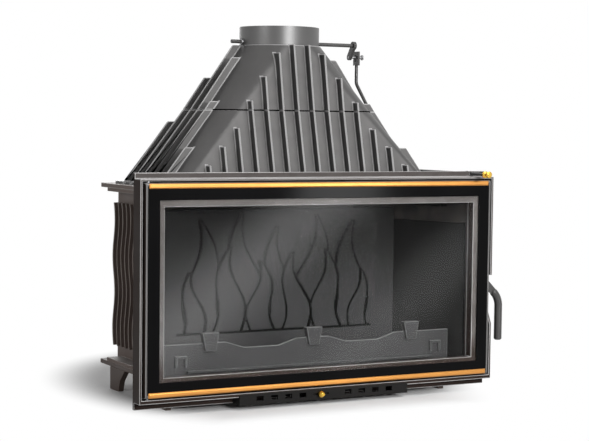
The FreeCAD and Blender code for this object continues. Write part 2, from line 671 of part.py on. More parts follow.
def make_left_leg(name, place, lean):
    """A flared web, tapped in its foot, with a pad under the base flange; lean is the way it flares."""
    half = d.leg_foot / 2
    corners = [(place - lean * half, ZERO), (place + lean * half, ZERO),
               (place + lean * (half + d.leg_flare / 4), d.leg_height / 2),
               (place + lean * (half + d.leg_flare), d.leg_height), (place - lean * half, d.leg_height)]
    if lean < 0:
        corners.reverse()
    web = plate(name + "_web", "YZ_Plane", corners, -flange_half, d.leg_web - flange_half)
    head = box(name + "_head", (-flange_half, d.leg_pad - flange_half), span(half, place),
               (d.leg_height - d.leg_pad_thick, d.leg_height))
    hole = rod(name + "_hole", "Z", d.foot_hole_radius, (d.leg_web / 2 - flange_half, place, -d.over),
               d.foot_hole_depth + d.over)
    return cut(name, fuse(name + "_casting", web, head), hole)


def rounded_loop(section):
    """A rounded rectangle as a wire: section is its height, half width, half depth and corner radius."""
    z, half_x, half_y, radius = section
    turn = radius * (1 - math.sqrt(0.5))
    edges = []
    for quarter in range(4):
        sx, sy = ((1, -1), (1, 1), (-1, 1), (-1, -1))[quarter]
        nx, ny = ((1, 1), (-1, 1), (-1, -1), (1, -1))[quarter]
        side_point = Vector(sx * half_x, sy * (half_y - radius), z)
        end_point = Vector(sx * (half_x - radius), sy * half_y, z)
        middle = Vector(sx * (half_x - turn), sy * (half_y - turn), z)
        first, last = (end_point, side_point) if quarter % 2 == 0 else (side_point, end_point)
        edges.append(Part.Arc(first, middle, last).toShape())
        next_side = Vector(nx * half_x, ny * (half_y - radius), z)
        next_end = Vector(nx * (half_x - radius), ny * half_y, z)
        edges.append(Part.LineSegment(last, next_side if quarter % 2 == 0 else next_end).toShape())
    return Part.Wire(edges)


def between(low, high, part):
    return [a + (b - a) * part for a, b in zip(low, high)]


def hood_rib(low, high, place, along_x, margins):
    """A straight rib on one face of a hood half, as high as the face leaves its margin beside it."""
    reach, depth = (1, 2) if along_x else (2, 1)
    start = low[reach] - float(margins[0]) - abs(place)
    finish = high[reach] - float(margins[1]) - abs(place)
    if start <= 0:
        return None
    part = 1 if finish >= 0 else start / (start - finish)
    head = between(low, high, part)
    out = float(d.hood_rib_depth)
    root = float(d.hood_rib_root)
    side = float(d.hood_rib_thick) / 2
    profile = [(root - low[depth], low[0]), (-low[depth] - out, low[0]),
               (-head[depth] - out, head[0]), (root - head[depth], head[0])]
    if along_x:
        spots = [Vector(place - side, y, z) for y, z in profile]
        push = Vector(2 * side, 0, 0)
    else:
        spots = [Vector(x, place - side, z) for x, z in profile]
        push = Vector(0, 2 * side, 0)
    return Part.Face(Part.makePolygon(spots + spots[:1])).extrude(push)


def rib_places(count, shift=0):
    return [float(d.hood_rib_pitch) * (index - (count - 1) / 2) - shift for index in range(count)]


def make_hood_half(name, low, high, front_margins, side_margins, flange=None):
    """A tapered shell between two rounded sections, with ribs on all four faces and an open inside."""
    shell = Part.makeLoft([rounded_loop(low), rounded_loop(high)], True, True)
    front = [hood_rib(low, high, place, True,
                      front_margins) for place in rib_places(int(float(d.hood_ribs)))]
    side_places = rib_places(int(float(d.hood_side_ribs)), float(d.side_rib_shift))
    left = [hood_rib(low, high, place, False, side_margins) for place in side_places]
    ribs = []
    for faces, flip in ((front, Vector(0, 1, 0)), (left, Vector(1, 0, 0))):
        for rib in faces:
            if rib:
                ribs += [rib, rib.mirror(Vector(), flip)]
    wall = float(d.hood_wall)
    past = float(d.over) / (high[0] - low[0])
    inside = [between(low, high, part) for part in (-past, 1 + past)]
    inner = [[z, x - wall, y - wall, r - wall] for z, x, y, r in inside]
    hollow = Part.makeLoft([rounded_loop(section) for section in inner], True, True)
    pieces = ribs + ([flange] if flange else [])
    return feature(name, shell.fuse(pieces).cut(hollow).removeSplitter())


def make_hood():
    foot = [float(size) for size in (hood_bottom, hood_half_width, d.hood_half_depth, d.hood_corner)]
    waist = [float(size) for size in (seam, d.seam_half_width, d.seam_half_depth, d.seam_corner)]
    head = [float(size) for size in (crown, d.crown_half, d.crown_half, d.crown_corner)]
    spread = float(d.hood_flange)
    edge = [foot[0], foot[1] + spread, foot[2] + spread, foot[3] + spread]
    flange = Part.Face(rounded_loop(edge)).extrude(Vector(0, 0, float(d.hood_flange_thick)))
    lower = make_hood_half("hood_lower", foot, waist, (d.front_rib_foot, d.front_rib_seam),
                           (d.side_rib_base, d.side_rib_seam), flange)
    upper = make_hood_half("hood_upper", waist, head, (d.front_rib_crown, d.front_rib_crown),
                           (d.side_rib_seam, d.side_rib_crown))
    return lower, upper


def make_collar():
    outer = rod("collar_outer", "Z", d.collar_radius, (0, 0, crown), d.collar_height)
    socket = rod("collar_socket", "Z", d.socket_radius, (0, 0, collar_top - d.socket_depth),
                 d.socket_depth + d.over)
    throat = rod("collar_throat", "Z", d.throat_radius, (0, 0, crown - d.over),
                 d.collar_height + 2 * d.over)
    bearing = rod("shaft_holes", "X", d.shaft_radius + d.running_play, (-d.shaft_left, 0, shaft_z),
                  d.shaft_left + d.shaft_right)
    return cut("flue_collar", outer, socket, throat, bearing)


crank_lean = math.radians(float(d.crank_angle))
crank_y = d.crank_reach * math.sin(crank_lean)
crank_z = shaft_z - d.crank_reach * math.cos(crank_lean)
crank_right = d.shaft_right - d.crank_end_gap
crank_left = crank_right - d.crank_thick


def make_damper():
    """A round plate bolted to the flat of a cross shaft, with a washer, a crank and the crank's bolt."""
    bar = rod("shaft_bar", "X", d.shaft_radius, (-d.shaft_left, 0, shaft_z), d.shaft_left + d.shaft_right)
    flat_z = shaft_z + d.shaft_radius - d.shaft_flat
    disc_radius = d.throat_radius - d.disc_gap
    flat = box("shaft_flat_cut", span(disc_radius), span(d.shaft_radius + d.over),
               (flat_z, flat_z + d.shaft_radius))
    shaft = cut("damper_shaft", bar, flat)
    disc = rod("damper_disc", "Z", disc_radius, (0, 0, flat_z), d.disc_thick)
    washer_x = -d.collar_radius - d.washer_thick - d.face_gap
    washer = cut("shaft_washer", rod("washer_blank", "X", d.washer_radius, (washer_x, 0, shaft_z),
                                     d.washer_thick),
                 rod("washer_bore", "X", d.shaft_radius, (washer_x - d.over, 0, shaft_z),
                     d.washer_thick + 2 * d.over))
    half = d.crank_width / 2
    arm = plate("crank_arm", "YZ_Plane", [(-half, ZERO), (half, ZERO), (half, -d.crank_reach),
                                          (-half, -d.crank_reach)], crank_left, crank_right)
    arm.Placement = Placement(Vector(), Rotation(Vector(1, 0, 0), float(d.crank_angle)))
    bind(arm, "Placement.Base.z", shaft_z)
    bosses = [rod("crank_hub", "X", d.shaft_radius + d.crank_hub_wall, (crank_left, 0, shaft_z),
                  d.crank_thick),
              rod("crank_eye", "X", half, (crank_left, crank_y, crank_z), d.crank_thick)]
    bores = [rod("crank_bore", "X", d.shaft_radius, (crank_left - d.over, 0, shaft_z),
                 d.crank_thick + 2 * d.over),
             rod("crank_bolt_bore", "X", d.crank_bolt_radius, (crank_left - d.over, crank_y, crank_z),
                 d.crank_thick + 2 * d.over)]
    crank = cut("damper_crank", fuse("crank_forging", arm, *bosses), *bores)
    stem = rod("crank_bolt_stem", "X", d.crank_bolt_radius, (crank_left, crank_y, crank_z),
               d.crank_bolt_length)
    head = rod("crank_bolt_head", "X", d.bolt_head_radius,
               (crank_left + d.crank_bolt_length - d.bolt_head_thick, crank_y, crank_z),
               d.bolt_head_thick)
    return [shaft, disc, washer, crank, fuse("crank_bolt", stem, head)]


def bent_bar(spots, radius, bend):
    """A round bar along straight runs joined by tangent arcs of one bend radius."""
    edges = []
    start = spots[0]
    for before, corner, after in zip(spots, spots[1:], spots[2:]):
        back = (before - corner).normalize()
        ahead = (after - corner).normalize()
        half_turn = (math.pi - back.getAngle(ahead)) / 2
        leg = bend * math.tan(half_turn)
        enter = corner + back * leg
        leave = corner + ahead * leg
        middle = corner + (back + ahead).normalize() * (bend / math.cos(half_turn) - bend)
        edges.append(Part.LineSegment(start, enter).toShape())
        edges.append(Part.Arc(enter, middle, leave).toShape())
        start = leave
    edges.append(Part.LineSegment(start, spots[-1]).toShape())
    path = Part.Wire(edges)
    ring = Part.Wire(Part.Circle(spots[0], spots[1] - spots[0], radius).toShape())
    return path.makePipeShell([ring], True, False)


rod_x = crank_right + d.yoke_gap + d.yoke_thick / 2
rod_end = plate_front - d.rod_front


def make_damper_rod():
    """A slotted yoke round the crank bolt, on a bent bar that runs down the hood and out in front."""
    lowest = shaft_z - d.crank_reach - d.crank_bolt_radius - d.yoke_play
    slot_top = lowest + 2 * (d.crank_bolt_radius + d.yoke_play) + d.yoke_slack
    yoke_x = span(d.yoke_thick / 2, rod_x)
    blade = box("yoke_blade", yoke_x, span(d.yoke_width / 2, crank_y),
                (lowest - d.yoke_wall, slot_top + d.yoke_wall))
    slot = box("yoke_slot", span(d.yoke_thick, rod_x), span(d.crank_bolt_radius + d.yoke_play, crank_y),
               (lowest, slot_top))
    foot = lowest - d.yoke_wall / 2
    beside_hood = hood_half_width + d.rod_clear
    spots = [(rod_x, crank_y, foot), (rod_x, crank_y, foot - d.rod_straight),
             (beside_hood, crank_y, rod_z), (rod_side, crank_y, rod_z),
             (rod_side, rod_end, rod_z)]
    spots = [Vector(*(float(size) for size in spot)) for spot in spots]
    bar = feature("rod_bar", bent_bar(spots, float(d.rod_radius), float(d.rod_bend)))
    rod_piece = cut("damper_rod", fuse("rod_forging", blade, bar), slot)
    half = d.knob_disc / 2
    profile = [(0, 0), (d.knob_radius, 0), (d.knob_radius, -d.knob_disc),
               (d.knob_waist, -d.knob_disc - half),
               (d.knob_waist, d.knob_disc + half - d.knob_length),
               (d.knob_radius, d.knob_disc - d.knob_length),
               (d.knob_radius, half - d.knob_length), (d.knob_waist, -d.knob_length), (0, -d.knob_length)]
    knob = turned("damper_knob", profile, rod_side, rod_z)
    bind(knob, "Placement.Base.y", rod_end)
    return rod_piece, knob


def slot_places():
    side = [d.slot_first + d.slot_pitch * index for index in range(int(float(d.air_slots)))]
    return [-place for place in side] + side


def make_register():
    floor_top = register_bottom + d.register_floor
    face = box("register_face", span(d.register_half), (register_front, rim_front),
               (register_bottom, register_top))
    floor = box("register_floor_sheet", span(d.register_half), (rim_front, plate_front),
                (register_bottom, floor_top))
    walls = [box(f"register_end{index}",
                 span(d.register_wall / 2, side * (d.register_half - d.register_wall / 2)),
                 (rim_front, plate_front), (floor_top, rim_bottom)) for index, side in enumerate((-1, 1))]
    slide_y = (rim_front + d.face_gap, rim_front + d.face_gap + d.slide_thick)
    guides = [box(f"slide_guide{index}", span(d.guide_width / 2, side * d.guide_place),
                  (slide_y[1] + d.face_gap, slide_y[1] + d.face_gap + d.register_wall),
                  (floor_top, floor_top + d.guide_height)) for index, side in enumerate((-1, 1))]
    half = d.slot_width / 2
    gaps = [box(f"register_slot{index}", span(half, place), (register_front - d.over, rim_front + d.over),
                span(d.slot_height / 2, air_z)) for index, place in enumerate(slot_places())]
    run = box("knob_run", span(d.slide_travel + d.air_knob_stem + d.slide_play, -d.air_knob_place),
              (register_front - d.over, rim_front + d.over), span(d.air_knob_stem + d.slide_play, air_z))
    cover = cut("register_cover", fuse("register_casting", face, floor, *walls, *guides), *gaps, run)
    slide_half = d.register_half - d.register_wall - d.slide_travel - d.slide_play
    blank = box("slide_blank", span(slide_half), slide_y,
                (floor_top + d.face_gap, rim_bottom - d.slide_play))
    ports = [box(f"slide_port{index}", span(half, place), (slide_y[0] - d.over, slide_y[1] + d.over),
                 span(d.slot_height / 2, air_z)) for index, place in enumerate(slot_places())]
    slide = cut("air_slide", blank, *ports)
    stem_end = register_front - d.slide_play - slide_y[0]
    profile = [(0, 0), (d.air_knob_stem, 0), (d.air_knob_stem, stem_end), (d.air_knob_radius, stem_end),
               (d.air_knob_radius, stem_end - d.air_knob_length / 2),
               (d.air_knob_radius / 2, stem_end - d.air_knob_length), (0, stem_end - d.air_knob_length)]
    knob = turned("air_knob", profile, -d.air_knob_place, air_z)
    bind(knob, "Placement.Base.y", slide_y[0])
    return cover, slide, knob


def make_bolts():
    """Hexagon heads behind the front plate, on the hood's flange and under the leg pads."""
    frame_heads = []
    count = int(float(d.frame_bolts))
    for side in (-1, 1):
        for index in range(count):
            place = (base_top + d.bolt_inset) + (d.chamber_height - 2 * d.bolt_inset) * index / (count - 1)
            x = side * (wall_front_half + d.bolt_inset)
            frame_heads.append(hexagon(f"frame_bolt{side}_{index}", "Y", (x, plate_back, place),
                                       d.bolt_height))
    hood_heads = []
    rows = int(float(d.hood_bolts))
    for side in (-1, 1):
        for index in range(rows):
            x = d.hood_rib_pitch * 2 * (index - (rows - 1) / 2)
            y = side * (d.hood_half_depth + d.hood_flange - d.bolt_radius)
            hood_heads.append(hexagon(f"hood_bolt{side}_{index}", "Z",
                                      (x, y, hood_bottom + d.hood_flange_thick), d.bolt_height))
    leg_heads = []
    for side in (-1, 1):
        for place in (leg_rear_place, -d.leg_front_place):
            x = side * (flange_half - d.leg_web - d.leg_bolt_inset)
            leg_heads.append(hexagon(f"leg_bolt{side}_{float(place):.0f}".replace("-", "m"), "Z",
                                     (x, place, d.leg_height - d.leg_pad_thick - d.bolt_height),
                                     d.bolt_height))
    return [group("frame_bolts", *frame_heads), group("hood_bolts", *hood_heads),
            group("leg_bolts", *leg_heads)]


strips, strip_screws = make_strips()
nodes = {"front_frame": make_front_frame(), "door_frame": make_door_frame(strip_screws)}
for strip in strips:
    nodes[strip.Name] = strip
nodes["strip_screws"] = group("strip_screws", *strip_screws)
for piece in make_glazing():
    nodes[piece.Name] = piece
nodes["hinge_pins"] = make_hinge_pins()
nodes["door_handle"], nodes["handle_pivot_pin"], nodes["latch_keeper"] = make_handle()
nodes["base_plate"], nodes["top_plate"] = make_flange_plates()
nodes["side_wall_left"] = make_side_wall()
nodes["side_wall_right"] = mirrored("side_wall_right", nodes["side_wall_left"])
nodes["back_wall"] = make_back_wall()
nodes["side_lining_left"], nodes["side_lining_right"] = make_linings()
nodes["fireback"], nodes["fireback_spacers"] = make_fireback()
nodes["smoke_baffle"], nodes["baffle_ledge_left"], nodes["baffle_ledge_right"] = make_baffle()
nodes["log_guard"], nodes["guard_clips"] = make_log_guard()
nodes["fire_grate"] = make_grate()
nodes["ash_box"], nodes["ash_pan"] = make_ash_box()
for name, place, lean in (("leg_rear", leg_rear_place, -1), ("leg_front", -d.leg_front_place, 1)):
    nodes[name + "_left"] = make_left_leg(name + "_left", place, lean)
    nodes[name + "_right"] = mirrored(name + "_right", nodes[name + "_left"])
nodes["hood_lower"], nodes["hood_upper"] = make_hood()
nodes["flue_collar"] = make_collar()
for piece in make_damper():
    nodes[piece.Name] = piece
nodes["damper_rod"], nodes["damper_knob"] = make_damper_rod()
nodes["register_cover"], nodes["air_slide"], nodes["air_knob"] = make_register()
nodes["frame_bolts"], nodes["hood_bolts"], nodes["leg_bolts"] = make_bolts()
doc.recompute()

for item in doc.Objects:
    faults = [word for word in item.State if word in ("Invalid", "Error")]
    if faults:
        raise RuntimeError(f"{item.Label} failed: {faults}")
for name, item in nodes.items():
    if item.Shape.isNull() or not item.Shape.isValid():
        raise RuntimeError(f"{name} has no valid shape")

os.makedirs("parts", exist_ok=True)
for name, item in nodes.items():
    item.Label = name
    item.Shape.exportStep(f"parts/{name}.step")
    bounds = item.Shape.BoundBox
    print(f"{name}: {len(item.Shape.Solids)} solids, x {bounds.XMin:.1f} to {bounds.XMax:.1f}, "
          f"y {bounds.YMin:.1f} to {bounds.YMax:.1f}, z {bounds.ZMin:.1f} to {bounds.ZMax:.1f}")
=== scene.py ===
"""Looks of the fireplace insert: painted castings, brass trim, glazed door, fire chamber and studio stage."""

import math

import bmesh
import bpy
from bpy.props import FloatProperty, FloatVectorProperty, IntProperty, PointerProperty
from mathutils import Matrix, Vector


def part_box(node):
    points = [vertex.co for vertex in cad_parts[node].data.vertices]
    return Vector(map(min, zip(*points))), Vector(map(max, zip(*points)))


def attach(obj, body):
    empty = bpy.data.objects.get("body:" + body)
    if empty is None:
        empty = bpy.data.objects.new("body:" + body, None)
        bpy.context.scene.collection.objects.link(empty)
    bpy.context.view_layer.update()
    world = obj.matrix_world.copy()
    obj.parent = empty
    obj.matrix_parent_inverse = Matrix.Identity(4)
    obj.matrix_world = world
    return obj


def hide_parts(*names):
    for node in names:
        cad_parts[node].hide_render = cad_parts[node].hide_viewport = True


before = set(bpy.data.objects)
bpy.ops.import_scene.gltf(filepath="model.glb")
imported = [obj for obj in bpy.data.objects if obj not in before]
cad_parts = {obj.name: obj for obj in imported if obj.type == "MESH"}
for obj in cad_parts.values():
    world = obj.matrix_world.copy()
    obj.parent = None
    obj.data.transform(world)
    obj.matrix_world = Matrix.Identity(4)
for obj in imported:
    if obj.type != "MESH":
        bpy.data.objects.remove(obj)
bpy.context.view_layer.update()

bl_info = {
    "name": "Fireplace Insert Looks",
    "version": (1, 0, 0),
    "blender": (4, 5, 0),
    "location": "3D View > Sidebar > Insert",
    "description": "Dresses the cast-iron fireplace insert and sets up its studio stage",
    "category": "Object",
}


# Settings that a user would change

def colour(name, text, default):
    return FloatVectorProperty(name=name, description=text, default=default, subtype="COLOR", size=3, min=0, max=1)


def length(name, text, default):
    return FloatProperty(name=name, description=text, default=default, unit="LENGTH", subtype="DISTANCE", min=0)


def power(name, text, default):
    return FloatProperty(name=name, description=text, default=default, subtype="POWER")


class InsertFinishes(bpy.types.PropertyGroup):
    hood_paint: colour("Hood paint", "Satin stove paint on the hood", (0.088, 0.086, 0.0855))
    collar_paint: colour("Collar paint", "Darker, glossier paint on the flue collar", (0.042, 0.0405, 0.04))
    # Painted highlight: paint far lighter than the hood's, for the rounded edges of the ribs and the collar
    hood_edge: colour("Hood edge", "Rubbed edges of the hood's ribs", (0.4, 0.395, 0.395))
    frame_paint: colour("Frame paint", "Dark paint on the front frame and the door", (0.03, 0.021, 0.018))
    # Painted highlight on the rounded edges of the front frame and the door
    frame_edge: colour("Frame edge", "Bright rubbed edges of the front frame and the door", (0.42, 0.41, 0.405))
    body_iron: colour("Body iron", "Dull iron of the walls, flanges and legs", (0.155, 0.12, 0.105))
    # Painted highlight on the rounded edges of the walls, flange, back wall and spacers
    body_edge: colour("Body edge", "Rubbed edges of the walls and the top flange", (0.34, 0.3, 0.275))
    chamber_iron: colour("Chamber iron", "Bare grey iron of the fireback, guard and grate", (0.042, 0.0415, 0.042))
    # The linings' darkness is soot, with painted shade for the chamber's dark corners
    lining_iron: colour("Lining iron", "Sooty iron of the linings and the baffle", (0.027, 0.0265, 0.026))
    # Near-black: soot with painted shade in the upper chamber, and painted shade alone in the fireback's grooves and
    # the hood's seam
    soot: colour("Soot", "Soot on the fireback and dark cement in the hood's seam", (0.006, 0.0058, 0.0056))
    lever_steel: colour("Lever steel", "Dark steel of the handle and the damper's linkage", (0.05, 0.048, 0.047))
    brass: colour("Brass", "Polished brass of the strips", (0.6, 0.27, 0.07))
    knob_brass: colour("Knob brass", "Yellower polished brass of the knobs", (0.72, 0.45, 0.07))
    dark_steel: colour("Dark steel", "Blackened steel of the register, ash box and bolts", (0.011, 0.0104, 0.01))
    plain_steel: colour("Plain steel", "Pins, screws, washer and latch keeper", (0.3, 0.3, 0.305))
    # A lighter colour: dust with a painted sheen on tops, and a painted highlight on fronts
    rubbed: colour("Rubbed iron", "Dusty tops and rubbed fronts of the castings", (0.42, 0.41, 0.405))
    enamel: colour("Window border", "Black enamel round the window", (0.0025, 0.0025, 0.0027))
    fibre: colour("Fibre", "Woven rope and tape seals", (0.22, 0.21, 0.2))


class InsertSizes(bpy.types.PropertyGroup):
    casting_round: length("Casting edge", "Rounding of the edges of heavy castings", 0.0016)
    rim_round: length("Rim edge", "Rounding of the front frame's and the door's edges", 0.0015)
    rib_round: length("Rib edge", "Rounding of the edges of the hood and its ribs", 0.0022)
    sheet_round: length("Small edge", "Rounding of the edges of small metal pieces", 0.0006)
    seam_half_width: length("Seam half width", "Half width of the seam between the hood's castings", 0.226)
    seam_half_depth: length("Seam half depth", "Half depth of the seam between the hood's castings", 0.136)
    seam_corner: length("Seam corner", "Corner radius of the hood at its seam", 0.06)
    # The seam bead is a near-black strip: painted shade in the joint
    seam_bead: length("Seam bead", "Radius of the cement bead in the hood's seam", 0.002)
    window_half: length("Window half width", "Clear half width of the glass", 0.454)
    window_low: length("Window bottom", "Height of the clear glass's lower edge", 0.083)
    window_high: length("Window top", "Height of the clear glass's upper edge", 0.517)
    relief: length("Flame relief", "How far the flames stand out of the fireback", 0.009)
    rope_strands: IntProperty(name="Rope strands", description="Strands twisted round the door rope",
                              default=3, min=2)
    rope_lay: length("Rope lay", "Length of one twist of the door rope", 0.045)


class InsertStage(bpy.types.PropertyGroup):
    floor: colour("Floor", "Colour of the floor", (0.9, 0.9, 0.9))
    overhead: power("Overhead lamp", "Power of the overhead lamp", 34)
    front: power("Front lamp", "Power of the front lamp", 52)
    glare: power("Glare lamp", "Power of the low lamp that the glass reflects", 6)
    back: power("Back lamp", "Power of the wide lamp behind", 45)
    sheen: power("Sheen lamp", "Power of the slim lamp that lights the collar's sheen", 90)
    fill: power("Fill lamp", "Power of the small lamp on the left", 20)
    world: FloatProperty(name="World", description="Strength of the light from all round", default=0.15, min=0)


def settings():
    scene = bpy.context.scene
    return scene.insert_finishes, scene.insert_sizes, scene.insert_stage


# Shader nodes

def feed(tree, socket, value):
    """Links a node's output to a socket, or sets the socket to a plain value."""
    if hasattr(value, "is_linked"):
        tree.links.new(value, socket)
    else:
        socket.default_value = value


def math_node(tree, operation, first, second):
    node = tree.nodes.new("ShaderNodeMath")
    node.operation = operation
    feed(tree, node.inputs[0], first)
    feed(tree, node.inputs[1], second)
    return node.outputs[0]


def vector_node(tree, operation, first, second):
    node = tree.nodes.new("ShaderNodeVectorMath")
    node.operation = operation
    feed(tree, node.inputs[0], first)
    feed(tree, node.inputs[1], second)
    return node


def noise_node(tree, place, scale, detail):
    node = tree.nodes.new("ShaderNodeTexNoise")
    tree.links.new(place, node.inputs["Vector"])
    feed(tree, node.inputs["Scale"], scale)
    node.inputs["Detail"].default_value = detail
    return node.outputs["Fac"]


def ramp(tree, value, low, high):
    """A smooth step from 0 to 1 while the value goes from low to high."""
    node = tree.nodes.new("ShaderNodeMapRange")
    node.interpolation_type = "SMOOTHSTEP"
    tree.links.new(value, node.inputs["Value"])
    feed(tree, node.inputs["From Min"], low)
    node.inputs["From Max"].default_value = high
    return node.outputs["Result"]


def mix_value(tree, mask, first, second):
    node = tree.nodes.new("ShaderNodeMapRange")
    tree.links.new(mask, node.inputs["Value"])
    node.inputs["To Min"].default_value = first
    node.inputs["To Max"].default_value = second
    return node.outputs["Result"]


def mix_colour(tree, mask, first, second):
    node = tree.nodes.new("ShaderNodeMix")
    node.data_type = "RGBA"
    tree.links.new(mask, node.inputs["Factor"])
    for socket, value in ((node.inputs[6], first), (node.inputs[7], second)):
        feed(tree, socket, value if hasattr(value, "is_linked") else (*value, 1))
    return node.outputs[2]


def object_place(tree):
    return tree.nodes.new("ShaderNodeTexCoord").outputs["Object"]


def along_axis(tree, axis):
    """The place on the object along X, Y or Z, in metres."""
    split = tree.nodes.new("ShaderNodeSeparateXYZ")
    tree.links.new(object_place(tree), split.inputs[0])
    return split.outputs[axis]


def show_mix(tree, share, first, second):
    """Shows a mix of two shaders on the surface."""
    both = tree.nodes.new("ShaderNodeMixShader")
    for socket, source in zip(both.inputs, (share, first.outputs[0], second.outputs[0])):
        tree.links.new(source, socket)
    tree.links.new(both.outputs[0], tree.nodes["Material Output"].inputs["Surface"])


# Shader groups that several finishes share

def new_group(name, inputs, outputs):
    tree = bpy.data.node_groups.new(name, "ShaderNodeTree")
    for label, kind, default in inputs:
        socket = tree.interface.new_socket(label, in_out="INPUT", socket_type=kind)
        socket.default_value = default
    for label in outputs:
        tree.interface.new_socket(label, in_out="OUTPUT", socket_type="NodeSocketFloat")
    return tree, tree.nodes.new("NodeGroupInput"), tree.nodes.new("NodeGroupOutput")


def sand_cast_group():
    """Fine sand-mould grain with slow clouds: a height, a fine mask and a cloud mask."""
    tree, inside, outside = new_group("sand_cast", [("Grain Scale", "NodeSocketFloat", 900.0),
                                                    ("Cloud Scale", "NodeSocketFloat", 9.0)],
                                      ["Height", "Fine", "Cloud"])
    place = object_place(tree)
    grain = noise_node(tree, place, inside.outputs["Grain Scale"], 3.0)
    coarse_scale = math_node(tree, "MULTIPLY", inside.outputs["Grain Scale"], 0.22)
    coarse = noise_node(tree, place, coarse_scale, 2.0)
    cloud = noise_node(tree, place, inside.outputs["Cloud Scale"], 4.0)
    grain_part = math_node(tree, "MULTIPLY", grain, 0.6)
    coarse_part = math_node(tree, "MULTIPLY", coarse, 0.4)
    tree.links.new(math_node(tree, "ADD", grain_part, coarse_part), outside.inputs["Height"])
    tree.links.new(ramp(tree, grain, 0.35, 0.65), outside.inputs["Fine"])
    tree.links.new(ramp(tree, cloud, 0.32, 0.68), outside.inputs["Cloud"])
    return tree


def facing_mask_group():
    """A mask of the faces that look one way, thicker in patches: it lays dust with a painted sheen on tops, a painted
    highlight on fronts and soot on the walls' inner sides.
    """
    tree, inside, outside = new_group("rubbed_faces", [("Direction", "NodeSocketVector", (0, 0, 1)),
                                                       ("Start", "NodeSocketFloat", 0.45),
                                                       ("Amount", "NodeSocketFloat", 0.3)], ["Mask"])
    normal = tree.nodes.new("ShaderNodeTexCoord").outputs["Normal"]
    along = vector_node(tree, "DOT_PRODUCT", normal, inside.outputs["Direction"])
    facing = ramp(tree, along.outputs["Value"], inside.outputs["Start"], 0.97)
    spots = ramp(tree, noise_node(tree, object_place(tree), 25.0, 5.0), 0.2, 0.75)
    patchy = math_node(tree, "MULTIPLY", facing, mix_value(tree, spots, 0.7, 1.0))
    tree.links.new(math_node(tree, "MULTIPLY", patchy, inside.outputs["Amount"]), outside.inputs["Mask"])
    return tree


def soot_and_shade_rise_group():
    """Darker with height inside the chamber: soot, with painted shade for the dimness under the lintel."""
    tree, inside, outside = new_group("soot_rise", [("Low", "NodeSocketFloat", 0.15)], ["Mask"])
    uneven = math_node(tree, "MULTIPLY", noise_node(tree, object_place(tree), 7.0, 3.0), 0.08)
    height = math_node(tree, "ADD", along_axis(tree, "Z"), uneven)
    tree.links.new(ramp(tree, height, inside.outputs["Low"], 0.56), outside.inputs["Mask"])
    return tree


def glare_band_group():
    """A soft slanting band across upright glass, where more coat is laid to show a glare: a painted reflection."""
    tree, inside, outside = new_group("wiped_film", [("Across", "NodeSocketVector", (-0.616, 0, 0.788)),
                                                     ("Centre", "NodeSocketFloat", 0.38),
                                                     ("Half Width", "NodeSocketFloat", 0.12)], ["Mask"])
    along = vector_node(tree, "DOT_PRODUCT", object_place(tree), inside.outputs["Across"])
    offset = math_node(tree, "SUBTRACT", along.outputs["Value"], inside.outputs["Centre"])
    share = math_node(tree, "DIVIDE", math_node(tree, "ABSOLUTE", offset, 0), inside.outputs["Half Width"])
    tree.links.new(math_node(tree, "SUBTRACT", 1, ramp(tree, share, 0, 1)), outside.inputs["Mask"])
    return tree


def brushed_group():
    """Fine lines along X from polishing."""
    tree, inside, outside = new_group("brushed", [("Scale", "NodeSocketFloat", 300.0)], ["Lines"])
    stretched = vector_node(tree, "MULTIPLY", object_place(tree), (0.03, 1.0, 1.0))
    lines = noise_node(tree, stretched.outputs[0], inside.outputs["Scale"], 4.0)
    tree.links.new(lines, outside.inputs["Lines"])
    return tree


GROUP_MAKERS = {"sand_cast": sand_cast_group, "rubbed_faces": facing_mask_group, "soot_rise": soot_and_shade_rise_group,
                "wiped_film": glare_band_group, "brushed": brushed_group}
GROUPS = {}


def group_node(tree, name, **values):
    """Places a shared group, made the first time it is asked for, with its own values."""
    if name not in GROUPS:
        GROUPS[name] = GROUP_MAKERS[name]()
    node = tree.nodes.new("ShaderNodeGroup")
    node.node_tree = GROUPS[name]
    for label, value in values.items():
        node.inputs[label.replace("_", " ")].default_value = value
    return node


# Finishes

def new_material(name):
    material = bpy.data.materials.new(name)
    material.use_nodes = True
    tree = material.node_tree
    return material, tree, tree.nodes["Principled BSDF"]


def shade(tint, factor):
    return tuple(min(1, part * factor) for part in tint)


def add_bump(tree, shader, height, depth):
    bump = tree.nodes.new("ShaderNodeBump")
    bump.inputs["Distance"].default_value = depth
    bump.inputs["Strength"].default_value = 1
    tree.links.new(height, bump.inputs["Height"])
    tree.links.new(bump.outputs["Normal"], shader.inputs["Normal"])


# How quickly the dust and painted sheen on tops fade in above their starting height, and the heights over which the
# painted highlight on fronts fades in, in metres
DUST_AND_SHEEN_FADE = 0.1
FRONT_HIGHLIGHT_FADE = (0.1, 0.17)


